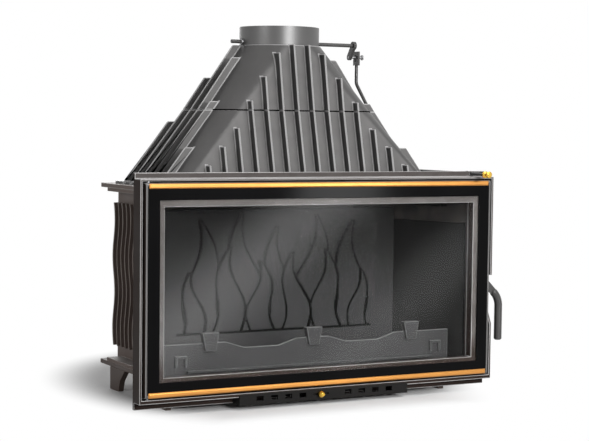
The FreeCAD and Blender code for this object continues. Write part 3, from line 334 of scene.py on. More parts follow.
def painted_iron(name, tint, rough, specular, dust_and_sheen=0.0, front=0.0, soot_side=None, grain=900.0, depth=0.00012,
                 soot_and_shade_above=False, dust_and_sheen_from=None):
    """Cast iron under stove paint: grain, slow clouds, a sooty side, tops made lighter by dust with a painted sheen,
    fronts made lighter by a painted highlight, and, in the chamber, upper parts darkened by soot with painted shade.

    Given a starting height, the lighter tops begin only above it, and the painted highlight fades out on the lowest
    fronts, which stay dark.
    """
    material, tree, shader = new_material(name)
    cast = group_node(tree, "sand_cast", Grain_Scale=grain)
    # Faces that look up: dust, with a painted sheen where light from above falls
    top = group_node(tree, "rubbed_faces", Direction=(0, 0, 1), Amount=dust_and_sheen)
    # Faces that look ahead: a painted highlight, as if lit from the front
    face = group_node(tree, "rubbed_faces", Direction=(0, -1, 0), Start=0.85, Amount=front)
    clouded = mix_colour(tree, cast.outputs["Cloud"], shade(tint, 0.86), shade(tint, 1.12))
    grainy = mix_colour(tree, cast.outputs["Fine"], shade(tint, 0.9), clouded)
    dust_and_sheen_mask, front_highlight = top.outputs["Mask"], face.outputs["Mask"]
    if dust_and_sheen_from:
        height = along_axis(tree, "Z")
        dust_and_sheen_mask = math_node(tree, "MULTIPLY", dust_and_sheen_mask, ramp(tree, height, dust_and_sheen_from, dust_and_sheen_from + DUST_AND_SHEEN_FADE))
        front_highlight = math_node(tree, "MULTIPLY", front_highlight, ramp(tree, height, *FRONT_HIGHLIGHT_FADE))
    tints = settings()[0]
    # The lighter colour goes where either mask is: partly dust, partly painted sheen and highlight
    surface = mix_colour(tree, math_node(tree, "MAXIMUM", dust_and_sheen_mask, front_highlight), grainy, tints.rubbed)
    if soot_side:
        inner = group_node(tree, "rubbed_faces", Direction=soot_side, Amount=1)
        surface = mix_colour(tree, inner.outputs["Mask"], surface, tints.lining_iron)
    # Darker towards the top: soot, with painted shade under the lintel
    if soot_and_shade_above:
        risen = group_node(tree, "soot_rise")
        surface = mix_colour(tree, risen.outputs["Mask"], surface, tints.soot)
    tree.links.new(surface, shader.inputs["Base Color"])
    tree.links.new(mix_value(tree, cast.outputs["Cloud"], rough * 0.9, rough * 1.12), shader.inputs["Roughness"])
    shader.inputs["Specular IOR Level"].default_value = specular
    add_bump(tree, shader, cast.outputs["Height"], depth)
    return material


POLISH_DEPTH = 0.000006


def polished_metal(name, tint, rough, lines):
    material, tree, shader = new_material(name)
    brushed = group_node(tree, "brushed", Scale=lines)
    cast = group_node(tree, "sand_cast", Grain_Scale=500.0, Cloud_Scale=14.0)
    tree.links.new(mix_colour(tree, cast.outputs["Cloud"], shade(tint, 0.9), tint), shader.inputs["Base Color"])
    uneven = mix_value(tree, brushed.outputs["Lines"], rough * 0.85, rough * 1.2)
    tree.links.new(uneven, shader.inputs["Roughness"])
    shader.inputs["Metallic"].default_value = 1
    add_bump(tree, shader, brushed.outputs["Lines"], POLISH_DEPTH)
    return material


def black_enamel(name, tint):
    material, tree, shader = new_material(name)
    cast = group_node(tree, "sand_cast", Grain_Scale=300.0, Cloud_Scale=5.0)
    tree.links.new(mix_colour(tree, cast.outputs["Cloud"], tint, shade(tint, 1.4)), shader.inputs["Base Color"])
    tree.links.new(mix_value(tree, cast.outputs["Cloud"], 0.1, 0.16), shader.inputs["Roughness"])
    shader.inputs["Specular IOR Level"].default_value = 0.05
    return material


def clear_glass(name):
    """Clear pane with faint slanting bands of coat placed to show a glare, a painted reflection; the pane lets lamp
    light through to the chamber.
    """
    material, tree, shader = new_material(name)
    for socket, value in (("Base Color", (0.93, 0.94, 0.94, 1)), ("Roughness", 0.0), ("IOR", 1.03),
                          ("Coat Roughness", 0.5), ("Coat IOR", 1.7), ("Transmission Weight", 1)):
        shader.inputs[socket].default_value = value
    # Two slanting bands of extra coat that reflect the white background: a painted glare reflection
    broad = group_node(tree, "wiped_film", Centre=0.41, Half_Width=0.15)
    narrow = group_node(tree, "wiped_film", Centre=0.04, Half_Width=0.13)
    broad_glare = mix_value(tree, broad.outputs["Mask"], 0.02, 0.24)
    narrow_glare = mix_value(tree, narrow.outputs["Mask"], 0.0, 0.1)
    tree.links.new(math_node(tree, "ADD", broad_glare, narrow_glare), shader.inputs["Coat Weight"])
    rays = tree.nodes.new("ShaderNodeLightPath")
    show_mix(tree, rays.outputs["Is Shadow Ray"], shader, tree.nodes.new("ShaderNodeBsdfTransparent"))
    return material


WEAVE_DEPTH = 0.0004


def woven_fibre(name, tint):
    material, tree, shader = new_material(name)
    weave = tree.nodes.new("ShaderNodeTexWave")
    weave.inputs["Scale"].default_value = 260
    weave.inputs["Distortion"].default_value = 3
    tree.links.new(object_place(tree), weave.inputs["Vector"])
    threads = mix_colour(tree, weave.outputs["Fac"], shade(tint, 0.7), shade(tint, 1.15))
    tree.links.new(threads, shader.inputs["Base Color"])
    shader.inputs["Roughness"].default_value = 0.95
    shader.inputs["Specular IOR Level"].default_value = 0.15
    add_bump(tree, shader, weave.outputs["Fac"], WEAVE_DEPTH)
    return material


BODY_CAST = {"grain": 600.0, "depth": 0.0002}
# Painted and cast finishes: the tint, the share of it, the roughness, the specular level and other values
IRON_FINISHES = {
    # Of the other values, the dust one lays dust with a painted sheen on faces that look up, front lays a painted
    # highlight on faces that look ahead, and the soot one darkens the chamber upward with soot and painted shade
    "hood_paint": ("hood_paint", 1, 0.36, 0.1, {"dust_and_sheen": 0.2, "front": 0.2}),
    "collar_paint": ("collar_paint", 1, 0.41, 1.0, {"dust_and_sheen": 0.1, "depth": 0.00003}),
    # Painted highlight for the hood's and the collar's rounded edges
    "hood_edge": ("hood_edge", 1, 0.34, 0.4, {}),
    "frame_paint": ("frame_paint", 1, 0.45, 0.03, {"dust_and_sheen": 0.9, "front": 0.16, "dust_and_sheen_from": 0.4}),
    # Painted highlight for the front frame's rounded edges
    "frame_edge": ("frame_edge", 1, 0.3, 0.4, {}),
    "door_paint": ("frame_paint", 1, 0.38, 0.05, {"dust_and_sheen": 0.5, "front": 0.18, "dust_and_sheen_from": 0.4}),
    # Painted highlight for the door frame's rounded edges
    "door_edge": ("frame_edge", 0.55, 0.3, 0.3, {}),
    "body_iron": ("body_iron", 1, 0.5, 0.1, {"dust_and_sheen": 0.5, **BODY_CAST}),
    "base_iron": ("body_iron", 0.6, 0.5, 0.1, {"dust_and_sheen": 0.45, **BODY_CAST}),
    "left_wall": ("body_iron", 1, 0.5, 0.1, {"dust_and_sheen": 0.5, "soot_side": (1, 0, 0), **BODY_CAST}),
    "right_wall": ("body_iron", 1, 0.5, 0.1, {"dust_and_sheen": 0.5, "soot_side": (-1, 0, 0), **BODY_CAST}),
    # Painted highlight for the body's rounded edges
    "body_edge": ("body_edge", 1, 0.4, 0.3, {"grain": 600.0}),
    # Darkens upward: soot, with painted shade for the dimness under the lintel
    "chamber_iron": ("chamber_iron", 1, 0.6, 0.06, {"dust_and_sheen": 0.1, "grain": 700.0, "soot_and_shade_above": True}),
    # Darker than the chamber iron: soot, with painted shade for the chamber's dark corners; it also darkens upward
    "lining_iron": ("lining_iron", 1, 0.65, 0.04, {"grain": 500.0, "soot_and_shade_above": True}),
    # Painted highlight for the rounded edges of the log guard and its clips
    "guard_edge": ("hood_edge", 0.29, 0.5, 0.2, {}),
    # Near-black: painted shade in the fireback's grooves and in the hood's seam
    "soot": ("soot", 1, 0.9, 0.02, {}),
    "dark_steel": ("dark_steel", 1, 0.42, 0.08, {"dust_and_sheen": 0.05, "grain": 1500.0, "depth": 0.00005}),
    "lever_steel": ("lever_steel", 1, 0.32, 0.4, {"grain": 1500.0, "depth": 0.00003}),
}
# Polished finishes: the roughness and the scale of the polishing lines
METAL_FINISHES = {"brass": (0.3, 300.0), "knob_brass": (0.22, 300.0), "plain_steel": (0.38, 500.0)}
OTHER_FINISHES = {"enamel": black_enamel, "fibre": woven_fibre}
MATERIALS = {}


def make_finish(name):
    tints = settings()[0]
    if name in IRON_FINISHES:
        tint, share, rough, specular, others = IRON_FINISHES[name]
        return painted_iron(name, shade(getattr(tints, tint), share), rough, specular, **others)
    if name in METAL_FINISHES:
        return polished_metal(name, getattr(tints, name), *METAL_FINISHES[name])
    if name == "glass":
        return clear_glass(name)
    return OTHER_FINISHES[name](name, getattr(tints, name))


def finish(name):
    """The named finish, made the first time it is asked for."""
    if name not in MATERIALS:
        MATERIALS[name] = make_finish(name)
    return MATERIALS[name]


# Mesh helpers

WELD_REACH = 0.00002
FLAT_ANGLE = math.radians(0.6)
EDGE_ANGLE = math.radians(32)


def round_edges(piece, edge, segments=2):
    bevel = piece.modifiers.new("round edges", "BEVEL")
    bevel.width = edge
    bevel.segments = segments
    bevel.limit_method = "ANGLE"
    bevel.harden_normals = True
    return bevel


def dress(node, look, edge, segments=2, edge_look=None, clamp=True, merge=True):
    """Rounds a CAD node's edges with modifiers and gives it a finish, and another one on the rounded edges, which is
    mostly a lighter paint: a painted highlight.
    """
    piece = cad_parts[node]
    mesh = piece.data
    mesh.materials.clear()
    mesh.materials.append(finish(look))
    mesh.materials.append(finish(edge_look or look))
    normals = mesh.attributes.get("custom_normal")
    if normals:
        mesh.attributes.remove(normals)
    mesh.polygons.foreach_set("use_smooth", [True] * len(mesh.polygons))
    piece.modifiers.new("weld", "WELD").merge_threshold = WELD_REACH
    if merge:
        flat = piece.modifiers.new("flat faces", "DECIMATE")
        flat.decimate_type = "DISSOLVE"
        flat.angle_limit = FLAT_ANGLE
    bevel = round_edges(piece, edge, segments)
    bevel.angle_limit = EDGE_ANGLE
    bevel.use_clamp_overlap = clamp
    bevel.material = 1
    piece.modifiers.new("even shading", "WEIGHTED_NORMAL").keep_sharp = True


def add_piece(name, mesh, look, body, slot, *stands_for):
    """A new piece of the object that rides on a body and may stand for CAD nodes."""
    piece = bpy.data.objects.new(name, mesh)
    bpy.context.scene.collection.objects.link(piece)
    mesh.materials.append(finish(look))
    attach(piece, body)
    if stands_for:
        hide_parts(*stands_for)
    return piece


def mesh_from(name, build, smooth=True):
    """A mesh made by a function that fills a bmesh."""
    work = bmesh.new()
    build(work)
    bmesh.ops.recalc_face_normals(work, faces=work.faces)
    mesh = bpy.data.meshes.new(name)
    work.to_mesh(mesh)
    work.free()
    mesh.polygons.foreach_set("use_smooth", [smooth] * len(mesh.polygons))
    return mesh


def bridge(work, first, second):
    """Joins two closed loops that have the same number of points with a band of faces."""
    for index in range(len(first)):
        after = (index + 1) % len(first)
        work.faces.new((first[index], first[after], second[after], second[index]))


def bridge_all(work, rings):
    """Joins each ring to the next one, and the last ring to the first."""
    for first, second in zip(rings, rings[1:] + rings[:1]):
        bridge(work, first, second)


def ring_builder(outer, inner, front, back):
    """Fills a bmesh with an upright rectangular ring: outer and inner are half width, low and high."""
    def build(work):
        loops = []
        for (half, low, high), y in ((outer, front), (inner, front), (inner, back), (outer, back)):
            corners = ((-half, low), (half, low), (half, high), (-half, high))
            loops.append([work.verts.new((x, y, z)) for x, z in corners])
        bridge_all(work, loops)
    return build


def box_builder(low, high):
    def build(work):
        made = bmesh.ops.create_cube(work, size=1)
        middle = (Vector(low) + Vector(high)) / 2
        size = Vector(high) - Vector(low)
        for vert in made["verts"]:
            vert.co = Vector(part * side for part, side in zip(vert.co, size)) + middle
    return build


# The fireback's flames

FLAMES = (
    # foot x, tip x, tip height, half width and sway, as shares of the panel; the later ones lie in front
    (-0.30, -0.36, 0.98, 0.20, 0.07), (0.32, 0.40, 0.95, 0.20, -0.07), (0.02, 0.00, 0.86, 0.17, 0.06),
    (-0.70, -0.78, 0.92, 0.20, -0.06), (0.72, 0.80, 0.9, 0.20, 0.06), (-0.52, -0.48, 0.7, 0.16, 0.05),
    (0.54, 0.50, 0.66, 0.16, -0.05), (-0.14, -0.18, 0.58, 0.14, -0.05), (0.18, 0.16, 0.64, 0.15, 0.05),
    (-0.84, -0.88, 0.5, 0.11, 0.03), (0.86, 0.89, 0.48, 0.11, -0.03),
)
# The panel's half width, foot and top, as shares of the fireback, and the grid over the whole fireback
FLAME_PANEL = (0.8, 0.2, 1.0)
FIREBACK_GRID = (300, 180)
# Width of a groove as a share of the panel, and heights as shares of the relief
FLAME_GROOVE = 0.016
FLAME_GROUND = 0.45
FLAME_EDGE = 0.6
# How a flame narrows towards its tip, and how its belly swells
FLAME_TAPER = 0.8
FLAME_WAIST = 0.85
FLAME_BELLY = 0.3


def flame_height(u, v):
    """Relief at a place on the panel, 0 in a groove and up to 1: u is -1 to 1 across it, v is 0 to 1 up it."""
    height = FLAME_GROUND
    for foot, tip, top, half, sway in FLAMES:
        if v >= top:
            continue
        t = v / top
        spine = foot + (tip - foot) * t + sway * math.sin(2 * math.pi * t)
        width = half * (1 - t) ** FLAME_TAPER * (FLAME_WAIST + FLAME_BELLY * math.sin(math.pi * t) ** 2)
        off = abs(u - spine)
        if off < width:
            height = FLAME_EDGE + (1 - FLAME_EDGE) * (1 - (off / width) ** 2) ** 0.5
        elif off < width + FLAME_GROOVE:
            height = 0.0
    return 0.0 if v < FLAME_GROOVE else height


def fireback_height(u, v):
    """Relief at a place on the whole fireback."""
    half_panel, panel_low, panel_high = FLAME_PANEL
    if abs(u) > half_panel or not panel_low < v < panel_high:
        return FLAME_GROUND
    return flame_height(u / half_panel, (v - panel_low) / (panel_high - panel_low))


def fireback_builder(low, high, relief):
    """Fills a bmesh with the fireback: a flat back and a front grid that carries the flames, with painted shade in
    the grooves.
    """
    across, up = FIREBACK_GRID
    half, tall = (high.x - low.x) / 2, high.z - low.z

    def build(work):
        grid, rises = [], {}
        for row in range(up + 1):
            v = row / up
            line = []
            for column in range(across + 1):
                u = 2 * column / across - 1
                rise = fireback_height(u, v)
                vert = work.verts.new((u * half, low.y - relief * rise, low.z + v * tall))
                rises[vert] = rise
                line.append(vert)
            grid.append(line)
        for lower, upper in zip(grid, grid[1:]):
            for index in range(across):
                corners = (lower[index], lower[index + 1], upper[index + 1], upper[index])
                face = work.faces.new(corners)
                # Faces in a groove take the second finish, near-black: painted shade
                face.material_index = 1 if any(rises[corner] == 0.0 for corner in corners) else 0
        right, left = [line[-1] for line in grid[1:]], [line[0] for line in grid[-2:0:-1]]
        edge = grid[0] + right + grid[-1][-2::-1] + left
        back = [work.verts.new((vert.co.x, high.y, vert.co.z)) for vert in edge]
        bridge(work, edge, back)
        work.faces.new(back)
    return build


# Beads and ropes

CORNER_STEP = 15
BEAD_SIDES = 8
SIDES_PER_STRAND = 6
ROPE_CORE = 0.86


def rope_path(half, low, high, corner, step):
    """Points along a rounded upright rectangle, about one step apart."""
    spots = []
    for cx, cz, start in ((half - corner, high - corner, 0), (corner - half, high - corner, 90),
                          (corner - half, low + corner, 180), (half - corner, low + corner, 270)):
        for turn in range(0, 91, CORNER_STEP):
            angle = math.radians(start + turn)
            spots.append(Vector((cx + corner * math.cos(angle), 0, cz + corner * math.sin(angle))))
    even = []
    for here, after in zip(spots, spots[1:] + spots[:1]):
        count = max(1, round((after - here).length / step))
        even += [here.lerp(after, part / count) for part in range(count)]
    return even


def heading(path, index):
    """Direction of a closed path at one of its points."""
    return (path[(index + 1) % len(path)] - path[index - 1]).normalized()


def bead_builder(path, radius):
    """Fills a bmesh with a closed round bead that lies level."""
    turns = [2 * math.pi * step / BEAD_SIDES for step in range(BEAD_SIDES)]

    def build(work):
        rings = []
        for index, spot in enumerate(path):
            side = heading(path, index).cross(Vector((0, 0, 1)))
            spreads = [side * math.cos(turn) + Vector((0, 0, math.sin(turn))) for turn in turns]
            rings.append([work.verts.new(spot + radius * spread) for spread in spreads])
        bridge_all(work, rings)
    return build


def rope_builder(path, y, radius, strands, lay):
    """Fills a bmesh with a closed rope: a round section whose strands twist along it."""
    sides = SIDES_PER_STRAND * strands

    def build(work):
        rings = []
        travelled = 0.0
        for index, spot in enumerate(path):
            side = heading(path, index).cross(Vector((0, 1, 0)))
            ring = []
            for step in range(sides):
                angle = 2 * math.pi * step / sides
                bulge = abs(math.cos(strands / 2 * (angle - 2 * math.pi * travelled / lay)))
                reach = radius * (ROPE_CORE + (1 - ROPE_CORE) * bulge)
                spread = side * (reach * math.cos(angle)) + Vector((0, reach * math.sin(angle), 0))
                ring.append(work.verts.new(spot + spread + Vector((0, y, 0))))
            rings.append(ring)
            travelled += (path[(index + 1) % len(path)] - spot).length
        bridge_all(work, rings)
    return build


# Operators

SEAM_STEP = 0.02


class INSERT_OT_hood(bpy.types.Operator):
    """Paints and rounds the hood castings and the flue collar, and lays a near-black bead in the hood's seam: painted
    shade of the joint
    """
    bl_idname = "insert.hood"
    bl_label = "Hood and collar"

    def execute(self, context):
        sizes = settings()[1]
        for node in ("hood_lower", "hood_upper"):
            dress(node, "hood_paint", sizes.rib_round, edge_look="hood_edge", clamp=False)
        dress("flue_collar", "collar_paint", sizes.casting_round, edge_look="hood_edge")
        # A near-black bead round the seam between the castings: painted shade where the joint's gap is dark
        seam = (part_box("hood_lower")[1].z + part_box("hood_upper")[0].z) / 2
        depth = sizes.seam_half_depth
        flat = rope_path(sizes.seam_half_width, -depth, depth, sizes.seam_corner, SEAM_STEP)
        path = [Vector((spot.x, spot.z, seam)) for spot in flat]
        seam_shade = mesh_from("hood_cement", bead_builder(path, sizes.seam_bead))
        add_piece("hood_cement", seam_shade, "soot", "firebox", "fibre_seal")
        return {"FINISHED"}


class INSERT_OT_body(bpy.types.Operator):
    """Finishes the flanges, walls, legs and ash box of the firebox"""
    bl_idname = "insert.body"
    bl_label = "Firebox body"

    def execute(self, context):
        edge = settings()[1].casting_round
        for node in ("top_plate", "back_wall", "fireback_spacers"):
            dress(node, "body_iron", edge, edge_look="body_edge")
        for node in ("base_plate", "leg_rear_left", "leg_rear_right", "leg_front_left", "leg_front_right"):
            # Their rounded edges take the lighter body iron: a painted highlight
            dress(node, "base_iron", edge, edge_look="body_iron")
        for side in ("left", "right"):
            dress(f"side_wall_{side}", f"{side}_wall", edge, edge_look="body_edge")
        for node in ("ash_box", "ash_pan"):
            dress(node, "dark_steel", settings()[1].sheet_round)
        return {"FINISHED"}


# The bead along the log guard: how far it stays inside the clips, stands out, rises and is rounded
GUARD_BEAD_INSET = 0.03
GUARD_BEAD_PROUD = 0.005
GUARD_BEAD_RISE = 0.018
GUARD_BEAD_TALL = 0.007
GUARD_BEAD_ROUND = 0.002


class INSERT_OT_chamber(bpy.types.Operator):
    """Finishes the linings, baffle, log guard and grate of the fire chamber"""
    bl_idname = "insert.chamber"
    bl_label = "Fire chamber"

    def execute(self, context):
        edge = settings()[1].casting_round
        for node in ("side_lining_left", "side_lining_right", "smoke_baffle", "baffle_ledge_left",
                     "baffle_ledge_right"):
            # The darker lining iron: soot, with painted shade for the chamber's dark corners
            dress(node, "lining_iron", edge)
        dress("fire_grate", "chamber_iron", edge)
        for node in ("log_guard", "guard_clips"):
            dress(node, "chamber_iron", edge, edge_look="guard_edge")
        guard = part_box("log_guard")[0]
        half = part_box("guard_clips")[1].x - GUARD_BEAD_INSET
        foot = guard.z + GUARD_BEAD_RISE
        low = (-half, guard.y - GUARD_BEAD_PROUD, foot)
        high = (half, guard.y + GUARD_BEAD_PROUD, foot + GUARD_BEAD_TALL)
        bead = mesh_from("guard_bead", box_builder(low, high))
        piece = add_piece("guard_bead", bead, "chamber_iron", "firebox", "lining_iron")
        round_edges(piece, GUARD_BEAD_ROUND)
        return {"FINISHED"}


class INSERT_OT_fireback(bpy.types.Operator):
    """Builds the fireback with its cast flames"""
    bl_idname = "insert.fireback"
    bl_label = "Fireback"

    def execute(self, context):
        mesh = mesh_from("fireback_flames", fireback_builder(*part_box("fireback"), settings()[1].relief))
        add_piece("fireback_flames", mesh, "chamber_iron", "firebox", "lining_iron", "fireback")
        # The grooves' finish: near-black painted shade
        mesh.materials.append(finish("soot"))
        return {"FINISHED"}


class INSERT_OT_front(bpy.types.Operator):
    """Finishes the front frame and the latch keeper"""
    bl_idname = "insert.front"
    bl_label = "Front frame"

    def execute(self, context):
        sizes = settings()[1]
        dress("front_frame", "frame_paint", sizes.rim_round, 3, "frame_edge", clamp=False, merge=False)
        dress("latch_keeper", "plain_steel", sizes.sheet_round)
        return {"FINISHED"}


class INSERT_OT_door(bpy.types.Operator):
    """Finishes the door frame, its brass strips, screws and pins"""
    bl_idname = "insert.door"
    bl_label = "Door"

    def execute(self, context):
        sizes = settings()[1]
        dress("door_frame", "door_paint", sizes.rim_round, 3, "door_edge", clamp=False, merge=False)
        for node in ("brass_strip_top", "brass_strip_bottom"):
            dress(node, "brass", sizes.sheet_round)
        for node in ("strip_screws", "hinge_pins", "handle_pivot_pin"):
            dress(node, "plain_steel", sizes.sheet_round)
        return {"FINISHED"}


BORDER_ROUND = 0.0008
TAPE_WIDTH = 0.01
TAPE_ROUND = 0.0007
ROPE_RADIUS = 0.007
ROPE_CORNER = 0.02
STEPS_PER_LAY = 9


class INSERT_OT_glazing(bpy.types.Operator):
    """Builds the clear pane, its black border, the tape behind it and the door rope"""
    bl_idname = "insert.glazing"
    bl_label = "Glazing and seals"

    def execute(self, context):
        sizes = settings()[1]
        low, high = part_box("door_glass")
        half, bottom, top = window = (sizes.window_half, sizes.window_low, sizes.window_high)
        pane = mesh_from("window_pane", box_builder((-half, low.y, bottom), (half, high.y, top)), smooth=False)
        add_piece("window_pane", pane, "glass", "door", "glass", "door_glass")
        border = mesh_from("window_border", ring_builder((high.x, low.z, high.z), window, low.y, high.y))
        round_edges(add_piece("window_border", border, "enamel", "door", "glass"), BORDER_ROUND)

        low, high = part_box("glass_seal")
        inner = (high.x - TAPE_WIDTH, low.z + TAPE_WIDTH, high.z - TAPE_WIDTH)
        tape = mesh_from("glass_tape", ring_builder((high.x, low.z, high.z), inner, low.y, high.y))
        round_edges(add_piece("glass_tape", tape, "fibre", "door", "fibre_seal", "glass_seal"), TAPE_ROUND)

        low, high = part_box("door_rope_seal")
        path = rope_path(high.x - ROPE_RADIUS, low.z + ROPE_RADIUS, high.z - ROPE_RADIUS, ROPE_CORNER,
                         sizes.rope_lay / STEPS_PER_LAY)
        build = rope_builder(path, high.y - ROPE_RADIUS, ROPE_RADIUS, sizes.rope_strands, sizes.rope_lay)
        add_piece("door_rope", mesh_from("door_rope", build), "fibre", "door", "fibre_seal", "door_rope_seal")
        return {"FINISHED"}


class INSERT_OT_handle(bpy.types.Operator):
    """Finishes the door handle"""
    bl_idname = "insert.handle"
    bl_label = "Door handle"

    def execute(self, context):
        dress("door_handle", "lever_steel", settings()[1].casting_round)
        return {"FINISHED"}


class INSERT_OT_damper(bpy.types.Operator):
    """Finishes the damper, its crank, rod and knob"""
    bl_idname = "insert.damper"
    bl_label = "Damper"

    def execute(self, context):
        edge = settings()[1].sheet_round
        for node in ("damper_shaft", "damper_crank", "damper_rod"):
            dress(node, "lever_steel", edge)
        dress("damper_disc", "body_iron", edge)
        for node in ("shaft_washer", "crank_bolt"):
            dress(node, "plain_steel", edge)
        dress("damper_knob", "knob_brass", edge)
        return {"FINISHED"}


class INSERT_OT_register(bpy.types.Operator):
    """Finishes the air register, its slide and knob"""
    bl_idname = "insert.register"
    bl_label = "Air register"

    def execute(self, context):
        edge = settings()[1].sheet_round
        for node in ("register_cover", "air_slide"):
            dress(node, "dark_steel", edge)
        dress("air_knob", "knob_brass", edge)
        return {"FINISHED"}


class INSERT_OT_fasteners(bpy.types.Operator):
    """Finishes the bolts of the frame, hood and legs"""
    bl_idname = "insert.fasteners"
    bl_label = "Bolts"

    def execute(self, context):
        for node in ("frame_bolts", "hood_bolts", "leg_bolts"):
            dress(node, "dark_steel", settings()[1].sheet_round)
        return {"FINISHED"}


# The stage

CAMERA_PLACE = Vector((-1.9686, -3.7633, 0.7015))
CAMERA_YAW, CAMERA_PITCH, CAMERA_ROLL = (math.radians(angle) for angle in (28.25, 3.45, 0.65))
CAMERA_LENS = 98.37
SENSOR_WIDTH = 36


def place_camera():
    data = bpy.data.cameras.new("photo_camera")
    data.sensor_width = SENSOR_WIDTH
    data.sensor_fit = "HORIZONTAL"
    data.lens = CAMERA_LENS
    camera = bpy.data.objects.new("photo_camera", data)
    bpy.context.scene.collection.objects.link(camera)
    level = math.cos(CAMERA_PITCH)
    ahead = Vector((math.sin(CAMERA_YAW) * level, math.cos(CAMERA_YAW) * level, -math.sin(CAMERA_PITCH)))
    right = Vector((math.cos(CAMERA_YAW), -math.sin(CAMERA_YAW), 0))
    down = ahead.cross(right)
    across = math.cos(CAMERA_ROLL) * right - math.sin(CAMERA_ROLL) * down
    below = math.sin(CAMERA_ROLL) * right + math.cos(CAMERA_ROLL) * down
    turn = Matrix((across, -below, -ahead)).transposed()
    camera.matrix_world = Matrix.Translation(CAMERA_PLACE) @ turn.to_4x4()
    bpy.context.scene.camera = camera


LAMPS = (
    # setting that holds the power, place, aim, width and height
    ("overhead", (0.8, -1.9, 2.6), (0, -0.1, 0.5), 1.6, 1.4),
    ("front", (0.6, -4.1, 2.2), (0, -0.1, 0.45), 1.2, 0.8),
    ("sheen", (0.1, -4.2, 1.15), (0, 0, 0.92), 1.3, 0.35),
    ("fill", (-3.2, -1.2, 1.1), (-0.2, 0, 0.6), 0.5, 0.5),
    ("glare", (1.05, -2.05, 0.3), (0.1, -0.27, 0.3), 0.3, 0.5),
    ("back", (0.6, 3.6, 1.5), (0, 0, 0.5), 2.0, 1.4),
)


def add_lamp(name, place, aim, watts, width, height):
    data = bpy.data.lights.new(name, "AREA")
    data.shape = "RECTANGLE"
    data.size = width
    data.size_y = height
    data.energy = watts
    lamp = bpy.data.objects.new(name, data)
    bpy.context.scene.collection.objects.link(lamp)
    lamp.location = place
    lamp.visible_camera = False
    lamp.rotation_euler = (Vector(aim) - Vector(place)).to_track_quat("-Z", "Y").to_euler()


def background_strength(tree, strength):
    """White for the rays that show a background: from the camera, from gloss and through glass; dim for lighting."""
    rays = tree.nodes.new("ShaderNodeLightPath")
    direct = math_node(tree, "MAXIMUM", rays.outputs["Is Camera Ray"], rays.outputs["Is Glossy Ray"])
    seen = math_node(tree, "MAXIMUM", direct, rays.outputs["Is Transmission Ray"])
    before_walls = math_node(tree, "LESS_THAN", rays.outputs["Diffuse Depth"], 0.5)
    return mix_value(tree, math_node(tree, "MULTIPLY", seen, before_walls), strength, 1.0)


def white_world(strength):
    world = bpy.data.worlds.new("studio")
    bpy.context.scene.world = world
    world.use_nodes = True
    tree = world.node_tree
    back = tree.nodes["Background"]
    back.inputs["Color"].default_value = (1, 1, 1, 1)
    tree.links.new(background_strength(tree, strength), back.inputs["Strength"])


FLOOR_HALF = 6
# The oval of floor that takes the object's shadow: its middle and half lengths in metres, and where it
# fades out, as shares of them; in front of the object, the shadow fades between two distances
SHADOW_CENTRE = (0, 0.1, 0)
SHADOW_REACH = (0.46, 0.6, 1)
SHADOW_FADE = (0.87, 1.25)
FRONT_FADE = (0.29, 0.44)


def floor_material(tint, strength):
    """A pale floor that takes the shadow near the object and fades to the white background further out."""
    material, tree, shader = new_material("studio_floor")
    shader.inputs["Base Color"].default_value = (*tint, 1)
    shader.inputs["Roughness"].default_value = 0.9
    shader.inputs["Specular IOR Level"].default_value = 0.1
    oval = tree.nodes.new("ShaderNodeMapping")
    oval.vector_type = "TEXTURE"
    oval.inputs["Location"].default_value = SHADOW_CENTRE
    oval.inputs["Scale"].default_value = SHADOW_REACH
    tree.links.new(object_place(tree), oval.inputs["Vector"])
    far = tree.nodes.new("ShaderNodeVectorMath")
    far.operation = "LENGTH"
    tree.links.new(oval.outputs["Vector"], far.inputs[0])
    ahead = math_node(tree, "MULTIPLY", along_axis(tree, "Y"), -1.0)
    beyond_oval = ramp(tree, far.outputs["Value"], *SHADOW_FADE)
    share = math_node(tree, "MAXIMUM", beyond_oval, ramp(tree, ahead, *FRONT_FADE))
    glow = tree.nodes.new("ShaderNodeEmission")
    tree.links.new(background_strength(tree, strength), glow.inputs["Strength"])
    show_mix(tree, share, shader, glow)
    return material


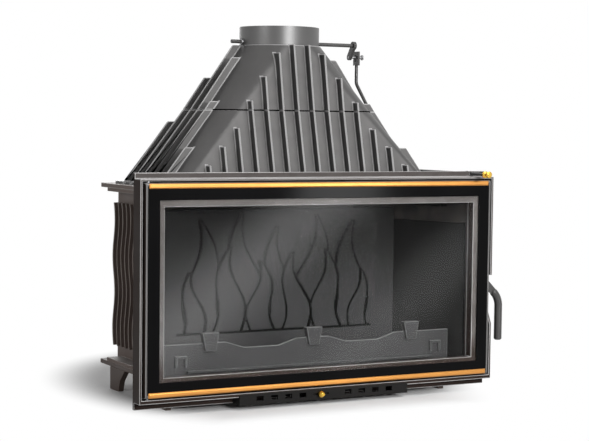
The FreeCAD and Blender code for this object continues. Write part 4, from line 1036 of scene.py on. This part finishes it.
class INSERT_OT_stage(bpy.types.Operator):
    """Sets up the floor, the soft lamps, the white background and the camera"""
    bl_idname = "insert.stage"
    bl_label = "Studio stage"

    def execute(self, context):
        stage = settings()[2]
        work = bmesh.new()
        bmesh.ops.create_grid(work, x_segments=1, y_segments=1, size=FLOOR_HALF)
        mesh = bpy.data.meshes.new("studio_floor")
        work.to_mesh(mesh)
        work.free()
        floor = bpy.data.objects.new("studio_floor", mesh)
        context.scene.collection.objects.link(floor)
        mesh.materials.append(floor_material(stage.floor, stage.world))
        for name, place, aim, width, height in LAMPS:
            add_lamp(f"{name}_lamp", place, aim, getattr(stage, name), width, height)
        white_world(stage.world)
        context.scene.view_settings.view_transform = "Standard"
        place_camera()
        return {"FINISHED"}


# The add-on

OPERATORS = (INSERT_OT_hood, INSERT_OT_body, INSERT_OT_chamber, INSERT_OT_fireback, INSERT_OT_front,
             INSERT_OT_door, INSERT_OT_glazing, INSERT_OT_handle, INSERT_OT_damper, INSERT_OT_register,
             INSERT_OT_fasteners, INSERT_OT_stage)


class INSERT_PT_panel(bpy.types.Panel):
    bl_idname = "INSERT_PT_panel"
    bl_label = "Fireplace insert"
    bl_space_type = "VIEW_3D"
    bl_region_type = "UI"
    bl_category = "Insert"

    def draw(self, context):
        for operator in OPERATORS:
            self.layout.operator(operator.bl_idname)
        for holder in settings():
            box = self.layout.box()
            for name in holder.__annotations__:
                box.prop(holder, name)


SETTINGS = (("insert_finishes", InsertFinishes), ("insert_sizes", InsertSizes), ("insert_stage", InsertStage))


def register():
    for name, holder in SETTINGS:
        bpy.utils.register_class(holder)
        setattr(bpy.types.Scene, name, PointerProperty(type=holder))
    for item in (*OPERATORS, INSERT_PT_panel):
        bpy.utils.register_class(item)


def unregister():
    for item in (INSERT_PT_panel, *reversed(OPERATORS)):
        bpy.utils.unregister_class(item)
    for name, holder in SETTINGS:
        delattr(bpy.types.Scene, name)
        bpy.utils.unregister_class(holder)


def main():
    register()
    for operator in OPERATORS:
        family, name = operator.bl_idname.split(".")
        getattr(getattr(bpy.ops, family), name)()


if __name__ == "__main__":
    main()
